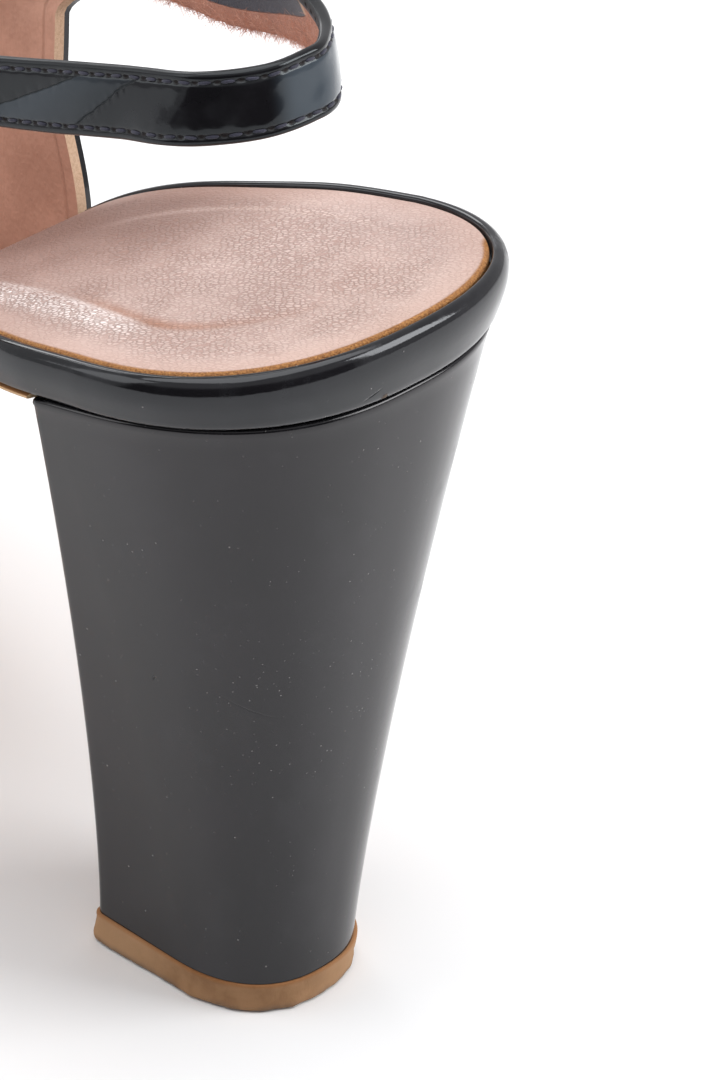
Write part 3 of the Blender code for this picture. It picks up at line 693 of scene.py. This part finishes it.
upper = {
    "wall": 2.0, "skin": 0.7, "core": 0.7, "out": 2.3,  # skin in mm, core as a share of the wall
    "quarterX": 73.4, "quarterLean": 5.3, "quarterFull": 0.42,
    "earX": 76.5, "earReach": 9.0, "earRise": 0.3, "earTop": 1.8, "earFrom": 0.57, "earFull": 0.74, "earShare": 0.16,
    "earIn": 0.893, "throatX": 150.0, "throatTurn": 2.06, "throatPower": 0.4,
    "splay": 5.0, "splayPower": 1.3, "splayShare": 0.45, "lastRound": 2.4, "capX": 180.0, "capPowers": (2.4, 2.0),
    "ridge": ((56.0, 155.0), (75.0, 141.0), (100.0, 110.0), (120.0, 87.0), (150.0, 59.0), (165.0, 48.5),
              (180.0, 40.5), (210.0, 31.0), (236.0, 27.0)),  # x, height of the last
    "columns": 96, "columnPower": 1.15, "rows": 48, "rowPower": 0.8, "roll": 0.55, "rollSteps": 7, "patentSteps": 5,
    "patent": dict(patent, rough=0.12, wave=0.14, waveScale=0.07),
    "seam": (2.3, 0.5),  # sewn line inside the cut edge: distance, half width
    "lining": rgb(220, 171, 149), "liningDark": rgb(184, 138, 118),
    "cut": rgb(206, 172, 142), "cutPale": rgb(206, 178, 154), "cutDark": rgb(150, 112, 86),
}


def footZ(x):
    return sockZ(x) - boardDepth(x)


def lastHeight(x, ratio):
    ridge = smooth(x, *np.array(upper["ridge"]).T)
    fall = np.clip((x - upper["capX"]) / (last["toeX"] + upper["out"] - upper["capX"]), 0.0, 1.0)
    cap = (1 - fall ** upper["capPowers"][0]) ** (1 / upper["capPowers"][1])
    arch = (1 - np.clip(np.abs(ratio), 0, 1) ** upper["lastRound"]) ** (1 / upper["lastRound"])
    return (ridge - footZ(x)) * cap * arch


def upperPoint(side, along, up):  # outer face: along from quarter to toe, up from sole to topline
    tipX = last["toeX"] + upper["out"]
    footX = upper["quarterX"] + (tipX - upper["quarterX"]) * along
    turn = 1 - (1 - along) ** upper["throatTurn"]
    topX = upper["earX"] + (upper["throatX"] - upper["earX"]) * turn
    topRatio = upper["earIn"] * (1 - turn) ** upper["throatPower"]
    footMiddle, footHalf = plan(footX, upper["out"])
    topMiddle, topHalf = plan(topX, upper["out"])
    x = footX + (topX - footX) * up ** 2
    footY, topY = footMiddle + side * footHalf, topMiddle + side * topHalf * topRatio
    y = footY + (topY - footY) * up ** 2
    lean = np.clip(1 - along / upper["earShare"], 0, 1) ** 2
    forward = upper["quarterLean"] * lean * ease(up / upper["quarterFull"])
    top = upper["earTop"] * lean * ease((up - upper["earFull"]) / (1 - upper["earFull"]))
    ear = upper["earReach"] * lean * ease((up - upper["earFrom"]) / (upper["earFull"] - upper["earFrom"]))
    middle, half = plan(x, upper["out"])
    z = footZ(x) + lastHeight(x, (y - middle) / np.maximum(half, 1e-6)) + upper["earRise"] * ear + top
    y = y + side * upper["splay"] * up ** upper["splayPower"] * ease(1 - along / upper["splayShare"])
    return np.stack([x + forward - ear, y, z], -1)


def upperGrid():
    turns = np.linspace(0.0, quarterTurn, upper["columns"] + 1)
    along = np.concatenate([[0.0], np.sin(turns[1:-1]) ** upper["columnPower"], [1.0]])
    side = np.concatenate([np.ones(len(along)), -np.ones(len(along) - 1)])
    along = np.concatenate([along, along[-2::-1]])
    ups = np.linspace(0.0, 1.0, upper["rows"] + 1) ** upper["rowPower"]
    outer = upperPoint(side[:, None], along[:, None], ups[None, :] + 0 * along[:, None])
    across, upward = np.gradient(outer, axis=0), np.gradient(outer, axis=1)
    normal = np.cross(upward, across)
    normal /= np.maximum(np.linalg.norm(normal, axis=-1, keepdims=True), 1e-9)
    return outer, normal


def liningFinish():
    hide = Finish("quarter_lining", {"IOR": 1.45, "Specular IOR Level": 0.3})
    point = hide.point()
    cloud = hide.noise(point, 0.09, 3.0)
    mottle = hide.noise(point, 0.8, 4.0, 0.65)
    pore = hide.cells(point, 1.7, "SMOOTH_F1")
    line = hide.mark("edge").peak(*upper["seam"])
    shares = cloud.rise(0.35, 0.7) * 0.6, mottle.rise(0.45, 0.75) * 0.3, line * 0.6
    tone = hide.coats(upper["lining"], *((share, upper["liningDark"]) for share in shares))
    return hide.done(tone, 0.55 + 0.2 * mottle, 0.05 * mottle - 0.05 * pore - 0.12 * line)


def cutFinish():
    hide = Finish("cut_edge", {"IOR": 1.45, "Specular IOR Level": 0.2})
    point = hide.point()
    fibre = hide.noise(point, 3.0, 4.0, 0.7)
    tone = hide.coats(upper["cut"], (hide.noise(point, 0.5, 3.0), upper["cutPale"]),
                      (fibre.rise(0.4, 0.7) * 0.35, upper["cutDark"]))
    return hide.done(tone, 0.75 + 0.1 * fibre, 0.1 * fibre)


def buildUpper():
    outer, normal = upperGrid()
    wall = upper["wall"]
    inner = outer - normal * wall
    crown = outer[:, -1] - outer[:, -2]  # the topline's edge is rolled over
    crown /= np.linalg.norm(crown, axis=-1, keepdims=True)
    roll = [outer[:, -1] - normal[:, -1] * (wall / 2) * (1 - math.cos(t)) + crown * upper["roll"] * math.sin(t)
            for t in np.linspace(0, halfTurn, upper["rollSteps"] + 2)[1:-1]]
    columns = np.concatenate([outer, np.stack(roll, 1), inner[:, ::-1]], 1)
    count, size, rows = len(columns), columns.shape[1], outer.shape[1]
    shell, lining, cut = range(3)
    faces, look = [], []
    for c in range(count - 1):
        for i in range(size):
            j = (i + 1) % size
            faces.append((c * size + i, c * size + j, (c + 1) * size + j, (c + 1) * size + i))
            look.append(shell if i < rows + upper["patentSteps"] else (lining if i < size - 1 else cut))
    points = columns.reshape(-1, 3)
    for c, flip in ((0, True), (count - 1, False)):  # cut back edges of the two quarters, in layers
        edgeRows = []
        for share in (upper["skin"] / wall, upper["core"]):
            edgeRows.append(len(points) + np.arange(rows))
            points = np.concatenate([points, outer[c] - normal[c] * wall * share])
        layers = np.array([c * size + np.arange(rows), *edgeRows, c * size + size - 1 - np.arange(rows)]).tolist()
        ends = []
        for k in range(len(layers) - 1):
            for r in range(rows - 1):
                ends.append((layers[k][r], layers[k][r + 1], layers[k + 1][r + 1], layers[k + 1][r]))
                look.append(cut if k else shell)
        ends.append([layer[-1] for layer in layers] + [c * size + i for i in range(size - rows - 1, rows - 1, -1)])
        ends.append([layer[0] for layer in layers[::-1]])
        look += [shell, cut]
        faces += [tuple(f[::-1] if flip else f) for f in ends]
    marks = {"edge": distanceTo(np.concatenate([inner[0], inner[-1], inner[:, -1]]), points)}
    skin, *patentLook = patentNodes("upper_patent", upper["patent"])
    finishes = [skin.done(*patentLook), liningFinish(), cutFinish()]
    addPiece("upper_shell", points, faces, finishes, "upper", look, marks)
    print("upper made:", len(faces), "faces")


strap = {
    "thick": 1.5, "tuck": 0.5, "tucks": (0.075, 0.03),
    "middle": ((46.0, 17.0, 108.4, 5.0), (30.0, 15.7, 113.2, 10.0), (19.5, 14.3, 116.1, 12.0),
               (14.5, 9.2, 117.3, 12.0), (13.8, 3.0, 117.5, 12.0), (17.5, -3.2, 116.6, 12.0),
               (30.0, -11.8, 114.3, 10.0), (46.0, -17.7, 108.45, 5.0)),  # the last number: lean inward in degrees
    "near": 36.0, "far": 96.0, "stations": (60, 340, 130), "sweeps": 6,  # finest between near and far
    "row": 2.92, "pitch": 2.3, "stitch": 1.5, "thread": 0.2,  # stitch rows up and down from the middle
    "outside": ((4.00, 0.0), (3.98, 0.22), (3.91, 0.42), (3.78, 0.58), (3.60, 0.68), (3.40, 0.71), (3.20, 0.68),
                (3.04, 0.60), (2.92, 0.53), (2.80, 0.58), (2.68, 0.66), (2.50, 0.73), (2.20, 0.78), (1.80, 0.80),
                (1.30, 0.81), (0.75, 0.82), (0.20, 0.82), (-0.40, 0.82), (-1.00, 0.82), (-1.50, 0.81), (-1.95, 0.79),
                (-2.30, 0.76), (-2.54, 0.72), (-2.70, 0.65), (-2.81, 0.58), (-2.92, 0.53), (-3.04, 0.59),
                (-3.18, 0.67), (-3.36, 0.71), (-3.58, 0.68), (-3.77, 0.56), (-3.91, 0.38), (-3.98, 0.17),
                (-4.00, -0.05)),  # up the band, outward
    "lining": ((-3.98, -0.20), (-3.90, -0.38), (-3.72, -0.52), (-3.40, -0.60), (-2.80, -0.63), (-1.90, -0.64),
               (-1.00, -0.64), (0.00, -0.64), (0.90, -0.64), (1.50, -0.63), (1.95, -0.59)),
    "fold": ((2.05, -0.62), (2.15, -0.69), (2.35, -0.74), (2.80, -0.75), (3.25, -0.72), (3.60, -0.61),
             (3.83, -0.43), (3.96, -0.22)),
    "creases": ((46.1, 0.085, 0.34, 3.2), (57.8, 0.10, 0.30, 1.65),
                (66.4, 0.05, 0.6, 1.1)),  # along, depth, half width, slant
    "slant": 1.35, "waves": ((0.10, 17.0, 51.0, 0.0), (0.02, 6.1, 0.0, 0.7)),  # height, length, from, phase
    "twist": {"at": 67.0, "half": 4.0, "rate": 0.03}, "pucker": 0.012, "fades": ((0.0, 14.0), (150.0, -14.0)),
    "turnIn": {"end": 100.2, "slant": 1.6, "from": 95.2, "reach": 22.75, "down": 2.4, "raw": 1.2,
               "dark": rgb(38, 42, 54), "pale": rgb(60, 64, 78)},  # leather turned in over the lining
    "patent": dict(patent, ior=1.39, gloss=(0.88, 0.96, 1, 1), rough=0.1, wave=0.12, waveScale=0.13,
                   dust=(1.9, 0.14, 0.1)),
    "raw": rgb(214, 180, 150), "colour": rgb(206, 146, 122), "dark": rgb(160, 104, 84), "hair": rgb(226, 182, 162),
    # on the next line: a painted reflection tone, then painted shade for the creases
    "paintedReflection": rgb(78, 88, 98), "creaseShade": (0.004, 0.006, 0.008, 1), "hole": (0.016, 0.008, 0.007, 1),
    "nap": (0.06, 0.066, 0.08, 1),
}


def strapEnd(side, along):  # tucked behind an ear
    a, b = upperPoint(side, along, upper["earFull"]), upperPoint(side, along, 1.0)
    middle = (a + b) / 2
    middle[1] -= side * (upper["wall"] + strap["tuck"] + strap["thick"] / 2)
    return middle, (b - a) / np.linalg.norm(b - a)


def strapLine():
    rows = [strapEnd(1, t) for t in strap["tucks"]]
    rows += [(np.array(r[:3]), np.array((0.0, 0.0, 1.0))) for r in strap["middle"]]
    rows += [strapEnd(-1, t) for t in strap["tucks"][::-1]]
    points, ways = np.array([r[0] for r in rows]), np.array([r[1] for r in rows])
    length = np.concatenate([[0.0], np.cumsum(np.linalg.norm(np.diff(points, axis=0), axis=1))])
    stops = (0.0, strap["near"], strap["far"], length[-1])
    runs = [np.linspace(a, b, n)[:-1] for a, b, n in zip(stops, stops[1:], strap["stations"])]
    at = np.concatenate([*runs, stops[-1:]])
    path = np.stack([smooth(at, length, points[:, k]) for k in range(3)], 1)
    for sweep in range(strap["sweeps"]):  # the leather bends in one sweep
        path[1:-1] = (path[:-2] + 2 * path[1:-1] + path[2:]) / 4
    way = np.stack([np.interp(at, length, ways[:, k]) for k in range(3)], 1)
    run = np.gradient(path, at, axis=0)
    run /= np.linalg.norm(run, axis=1)[:, None]
    way -= run * np.sum(run * way, axis=1)[:, None]
    way /= np.linalg.norm(way, axis=1)[:, None]
    lean = np.pad([r[3] for r in strap["middle"]], len(strap["tucks"]))
    lean = np.radians(np.interp(at, length, lean))[:, None]
    way = way * np.cos(lean) + np.cross(way, run) * np.sin(lean)
    return at, path, run, way, np.cross(run, way)


def strapSwell(at, rise):  # slanting waves and creases on the outer face
    s, bend, twist = at - strap["slant"] * rise, at + 0.18 * np.sin(3.1 * rise), strap["twist"]
    wave = sum(high * np.sin(fullTurn * (s - start) / long + phase) for high, long, start, phase in strap["waves"])
    crease = sum(deep * bell((bend - slant * rise - place) / half) for place, deep, half, slant in strap["creases"])
    crease = crease * ramp(np.abs(rise), 2.75, -0.9)  # ends at the stitches
    pucker = strap["pucker"] * np.sin(fullTurn * at / strap["pitch"]) * bell((np.abs(rise) - 2.5) / 0.4)
    turned = twist["rate"] * (at - twist["at"]) * rise * bell((at - twist["at"]) / twist["half"])
    begin, end = (ramp(at, *run) for run in strap["fades"])
    return (wave - crease + pucker + turned) * begin * end


def turnInEdge(run):  # lower border of the turned-in leather
    turnIn = strap["turnIn"]
    return turnIn["reach"] / (run - turnIn["from"]) - turnIn["down"]


def strapLiningFinish():
    nap = Finish("strap_lining", {"IOR": 1.45, "Specular IOR Level": 0.1, "Sheen Weight": 0.3,
                                  "Sheen Roughness": 0.5})
    point = nap.point()
    run, rise, turnIn = nap.mark("run"), nap.mark("rise"), strap["turnIn"]
    cloud = nap.noise(point, 0.25, 3.0)
    fuzzy = nap.noise(point, 2.4, 5.0, 0.75)
    cut = run - turnIn["slant"] * rise + 0.3 * fuzzy
    border = rise - turnInEdge(run) + 0.2 * (cloud - 0.5)
    band = border.rise(-0.08, 0.08) * cut.rise(turnIn["end"], turnIn["end"] + 0.3)
    tone = nap.coats(
        strap["colour"],
        (cloud.rise(0.35, 0.7) * 0.5, strap["dark"]),
        (fuzzy.rise(0.42, 0.68) * 0.5, strap["dark"]),
        (band, nap.mix(fuzzy.rise(0.35, 0.7), turnIn["dark"], turnIn["pale"])),
        (cut.peak(turnIn["end"], turnIn["raw"]) * border.rise(-0.2, 0.2), strap["raw"]))
    height = 0.22 * fuzzy * (1 - 0.7 * band) + 0.25 * band
    return nap.done(tone, 0.85 + 0.1 * fuzzy - 0.35 * band, height)


def hairFinish():
    nap = Finish("lining_hair", {"IOR": 1.45, "Specular IOR Level": 0.2})
    tint = nap.noise(nap.point(), 1.2, 2.0)
    tone = nap.mix(tint.rise(0.35, 0.65), strap["hair"], strap["colour"])
    nap.set({"Base Color": tone, "Roughness": 0.7 + 0.2 * tint})
    return nap.material


def strapFinish():
    skin, body, rough, bump = patentNodes("strap_patent", strap["patent"])
    run, rise, inner = skin.mark("run"), skin.mark("rise"), skin.mark("inner")
    point, turnIn, creases = skin.point(), strap["turnIn"], strap["creases"][:2]
    jag = skin.noise(point, 0.7, 4.0, 0.6)
    fibre = skin.noise(point, 3.0, 4.0, 0.7)
    panel = abs(rise).rise(2.75, 2.5)
    first, second = (place for place, *_ in creases)
    left, right = (run - slant * rise + 1.6 * (jag - 0.5) for *_, slant in creases)
    # painted reflection: a paler blue-grey patch between the first two creases
    paintedReflection = left.rise(first - 0.1, first + 0.5) * right.rise(second + 0.05, second - 0.5) * panel
    line = (left.peak(first, 0.5) + right.peak(second, 0.4)) * panel  # painted shade: thin dark lines along the first two creases
    step = skin.node("ShaderNodeMath", {"operation": "FRACT"}, {0: run / strap["pitch"]})
    hole = step.peak(0.5, 0.24) * abs(rise).peak(strap["row"], 0.36)  # needle holes between the stitches
    notch = (run - turnIn["slant"] * rise).peak(turnIn["end"], turnIn["raw"]) * inner
    dull = rise.rise(3.2, 3.8) * run.rise(74.0, 66.0) * (1 - inner)  # the rolled edge has lost its gloss
    body = skin.coats(
        body,
        (paintedReflection * (0.15 + 0.25 * right.rise(second, first)), strap["paintedReflection"]),
        # painted reflection over the end of the strap
        (run.rise(77.0, 80.5) * panel * 0.55, strap["paintedReflection"]),
        (line * 0.9, strap["creaseShade"]),
        (hole * 0.9, strap["hole"]),
        (notch, strap["raw"]),
        (inner * fibre.rise(0.45, 0.8) * 0.5, strap["nap"]))
    rough = rough + 0.7 * hole + 0.5 * notch + 0.4 * inner + 0.5 * line + 0.25 * dull
    return skin.done(body, rough, bump - 0.08 * hole - 0.06 * line + 0.08 * fibre * inner)


def buildStrap():
    at, path, run, way, out = strapLine()
    section = strap["outside"] + strap["lining"] + strap["fold"]
    size, shown = len(section), len(strap["outside"])
    rise, deep = np.array(section).T
    swell = strapSwell(at[:, None], rise[None, :]) * np.where(np.arange(size) < shown - 2, 1.0, 0.5)[None, :]
    points = path[:, None] + way[:, None] * rise[None, :, None] + out[:, None] * (deep + swell)[..., None]
    faces = [tuple(range(size - 1, -1, -1)), tuple((len(at) - 1) * size + i for i in range(size))]
    faces += [tuple(f) for f in ringFaces(len(at), size)]
    across = np.arange(size)
    napFaces = ((across >= shown - 1) & (across < shown + len(strap["lining"]) - 1)).astype(int)
    look = [0, 0] + np.tile(napFaces, len(at) - 1).tolist()
    marks = {"run": np.repeat(at, size), "rise": np.tile(rise, len(at)),
             "inner": np.tile((across >= shown + len(strap["lining"])) & (deep < -0.5), len(at))}
    addPiece("strap", points.reshape(-1, 3), faces, [strapFinish(), strapLiningFinish()], "sling_strap",
             look, marks)
    print("strap made:", len(faces), "faces")
    return at, path, run, way, out


fuzz = {
    "hairs": 3600, "seed": 7, "from": 88.0, "to": 150.0, "length": (0.5, 2.2), "radius": 0.026, "taper": 0.75,
    "edgeShare": 0.45, "edgeRise": (-4.05, -3.6), "edgeDepth": 0.30, "edgeDroop": -0.35,
    "faceRise": (-3.8, 2.05), "faceDepth": 0.61, "spread": 0.45, "stand": 0.35, "curl": 0.25, "lift": 0.12,
    "joints": (0.0, 0.35, 0.7, 1.0), "sides": (0.0, 2.094, 4.189),
}


def buildFuzz(line):  # loose hairs of the lining, thickest along its lower edge
    at, path, run, way, out = line
    dice = np.random.default_rng(fuzz["seed"])
    points, faces = [], []
    for hair in range(fuzz["hairs"]):
        k = int(np.argmin(np.abs(at - dice.uniform(fuzz["from"], fuzz["to"]))))
        edge = dice.random() < fuzz["edgeShare"]
        rise = dice.uniform(*fuzz["edgeRise" if edge else "faceRise"])
        long = dice.uniform(*fuzz["length"])
        if rise > turnInEdge(max(at[k], strap["turnIn"]["from"] + 1.0)) - 0.1:
            continue
        droop = dice.choice((-1.0, 1.0)), dice.normal(fuzz["edgeDroop"] if edge else 0.0, fuzz["spread"])
        lean = run[k] * droop[0] + way[k] * droop[1] - out[k] * dice.uniform(0.0, fuzz["stand"])
        lean /= np.linalg.norm(lean)
        curl = way[k] * dice.normal(0, fuzz["curl"]) * long - out[k] * dice.uniform(0, fuzz["lift"]) * long
        root = path[k] + way[k] * rise - out[k] * fuzz["edgeDepth" if edge else "faceDepth"]
        side = np.cross(lean, out[k])
        side /= np.linalg.norm(side)
        over = np.cross(side, lean)
        faces += tubeFaces(len(points), len(fuzz["joints"]), len(fuzz["sides"]))
        for share in fuzz["joints"]:
            centre = root + lean * long * share + curl * share ** 2
            girth = fuzz["radius"] * (1 - fuzz["taper"] * share)
            points += [centre + girth * (side * math.cos(t) + over * math.sin(t)) for t in fuzz["sides"]]
    addPiece("strap_fuzz", np.array(points), faces, [hairFinish()], None)
    print("fuzz made:", len(faces), "faces")


yarn = {
    "dark": (0.022, 0.022, 0.038, 1), "pale": (0.045, 0.045, 0.070, 1), "lint": (0.10, 0.10, 0.14, 1),
    "shape": ((-0.5, 0.25), (-0.44, 0.7), (-0.25, 1.0), (0.0, 1.05), (0.25, 1.0), (0.44, 0.7),
              (0.5, 0.25)),  # along a stitch, girth
    "sides": 8, "dive": 0.9, "height": 0.62, "sway": 0.10,  # dive: both ends sink into their holes
}


def threadFinish():
    thread = Finish("thread", {"IOR": 1.45, "Specular IOR Level": 0.35, "Sheen Weight": 0.2})
    point = thread.point()
    ply = thread.noise(point, 6.0, 3.0, 0.7)
    tone = thread.coats(yarn["dark"], (thread.noise(point, 0.4, 2.0), yarn["pale"]),
                        (ply.rise(0.5, 0.75) * 0.6, yarn["lint"]))
    return thread.done(tone, 0.6 + 0.2 * ply, 0.05 * ply)


def stitchPoints(centre, run, lift):  # one capsule of thread
    side, radius, length = np.cross(run, lift), strap["thread"], strap["stitch"]
    points = []
    for share, girth in yarn["shape"]:
        sink = -yarn["dive"] * radius * (2 * share) ** 4
        for t in fullTurn * np.arange(yarn["sides"]) / yarn["sides"]:
            points.append(centre + run * share * length + lift * (sink + radius * girth * math.cos(t))
                          + side * radius * girth * math.sin(t))
    return points


def buildStitches(line):
    at, path, run, way, out = line
    places = np.arange(2 * strap["pitch"], at[-1] - 6.0, strap["pitch"])
    points, faces = [], []
    for row in (strap["row"], -strap["row"]):
        for k in (int(np.argmin(np.abs(at - p))) for p in places):
            centre = path[k] + way[k] * row + out[k] * (yarn["height"] + strapSwell(at[k], row))
            slant = run[k] + way[k] * yarn["sway"] * math.sin(3.7 * k + row)
            faces += tubeFaces(len(points), len(yarn["shape"]), yarn["sides"])
            points += stitchPoints(centre, slant / np.linalg.norm(slant), out[k])
    addPiece("strap_stitches", np.array(points), faces, [threadFinish()], None)
    print("strap stitches made:", len(faces), "faces")


stage = {
    "reach": 1.8, "drop": 0.0002, "away": (-0.666, 0.746), "front": 300.0,  # the table ends this far before the heel
    "paint": (0.84, 0.84, 0.845, 1), "tone": (0.80, 0.80, 0.805, 1),
}


def buildFloor():
    ground = Finish("studio_floor", {"IOR": 1.45, "Specular IOR Level": 0.1})
    grain = ground.noise(ground.point(), 0.01, 3.0)
    ground.set({"Base Color": ground.mix(grain, stage["paint"], stage["tone"]), "Roughness": 0.8 + 0.1 * grain})
    away = Vector((*stage["away"], 0.0)).normalized()
    along = Vector((-away.y, away.x, 0.0))
    front = Vector(shoeZero.tolist()) + away * stage["front"] * mm
    corners = [front - along * stage["reach"], front + along * stage["reach"]]
    corners += [c - away * 2 * stage["reach"] for c in corners[::-1]]
    mesh = bpy.data.meshes.new("floor")
    mesh.from_pydata([(c.x, c.y, -stage["drop"]) for c in corners], [], [(0, 1, 2, 3)])
    mesh.materials.append(ground.material)
    floor = bpy.data.objects.new("floor", mesh)
    bpy.context.scene.collection.objects.link(floor)


light = {
    "lamps": (("top_box", (0.05, 0.0, 1.35), (0.0, 0.0, 0.0), 1.5, 17.0),
              ("back_box", (-0.85, -0.62, 0.72), (-0.06, 0.0, 0.06), 0.6, 8.0),
              ("side_box", (0.75, 0.95, 0.75), (0.0, 0.0, 0.04), 0.8, 3.5),
              ("front_box", (1.0, -0.35, 0.75), (0.0, 0.0, 0.06), 0.5, 3.0)),  # place, aim, size, power
    "around": (0.55, 0.55, 0.56, 1), "shade": (0.02, 0.02, 0.022, 1), "seen": (1, 1, 1, 1),
    "sector": (0.36, 0.48), "ceiling": (0.30, 0.50),  # the unlit side of the room, in front of the heel
}


def buildLight():
    for name, place, aim, size, power in light["lamps"]:
        lamp = bpy.data.lights.new(name, "AREA")
        lamp.shape, lamp.size, lamp.energy = "SQUARE", size, power
        held = bpy.data.objects.new(name, lamp)
        held.location = place
        held.rotation_euler = (Vector(aim) - Vector(place)).to_track_quat("-Z", "Y").to_euler()
        held.visible_camera = False
        bpy.context.scene.collection.objects.link(held)
    world = bpy.data.worlds.new("studio")
    bpy.context.scene.world = world
    room = Bench(world)
    way = room.axes(room.node("ShaderNodeTexCoord", {}, {}, "Generated"))
    flat = (way[0] * way[0] + way[1] * way[1] + 1e-4) ** 0.5
    ahead = (way[0] * stage["away"][0] + way[1] * stage["away"][1]) / flat
    shade = ahead.rise(*light["sector"]) * way[2].rise(*light["ceiling"][::-1])
    around = room.mix(shade, light["around"], light["shade"])
    direct = room.node("ShaderNodeLightPath", {}, {}, "Is Camera Ray")
    glow = room.node("ShaderNodeBackground", {}, {"Color": room.mix(direct, around, light["seen"])})
    room.node("ShaderNodeOutputWorld", {}, {"Surface": glow}, None)
    bpy.context.scene.view_settings.view_transform = "Standard"


view = {
    "turn": -48.208, "tilt": 32.647, "roll": 3.099, "distance": 650.0,  # degrees and mm
    "aim": (20.0, 0.0, 57.185), "side": 9.847,
    "focal": 5879.846, "frame": 1080, "sensor": 36.0, "clip": (0.01, 20.0),  # focal length in the frame's pixels
}


def buildCamera():
    turn, tilt, roll = (math.radians(view[k]) for k in ("turn", "tilt", "roll"))
    ahead = np.array([math.cos(turn) * math.cos(tilt), math.sin(turn) * math.cos(tilt), -math.sin(tilt)])
    right = np.array([math.sin(turn), -math.cos(turn), 0.0])
    over = np.cross(right, ahead)
    target = np.array(view["aim"]) + right * view["side"]
    place = (target - ahead * view["distance"]) * mm + shoeZero
    rightRolled = right * math.cos(roll) + over * math.sin(roll)
    overRolled = over * math.cos(roll) - right * math.sin(roll)
    lens = bpy.data.cameras.new("camera")
    lens.sensor_fit, lens.sensor_width = "AUTO", view["sensor"]
    lens.lens = view["sensor"] * view["focal"] / view["frame"]
    lens.clip_start, lens.clip_end = view["clip"]
    camera = bpy.data.objects.new("camera", lens)
    camera.matrix_world = Matrix([[rightRolled[k], overRolled[k], -ahead[k], place[k]] for k in range(3)]
                                 + [[0, 0, 0, 1]])
    bpy.context.scene.collection.objects.link(camera)
    bpy.context.scene.camera = camera


buildCamera()
buildTip()
buildHeel()
buildSole()
buildRim()
buildSock()
buildUpper()
strapPlace = buildStrap()
buildFuzz(strapPlace)
buildStitches(strapPlace)
buildFloor()
buildLight()
print("studio made")
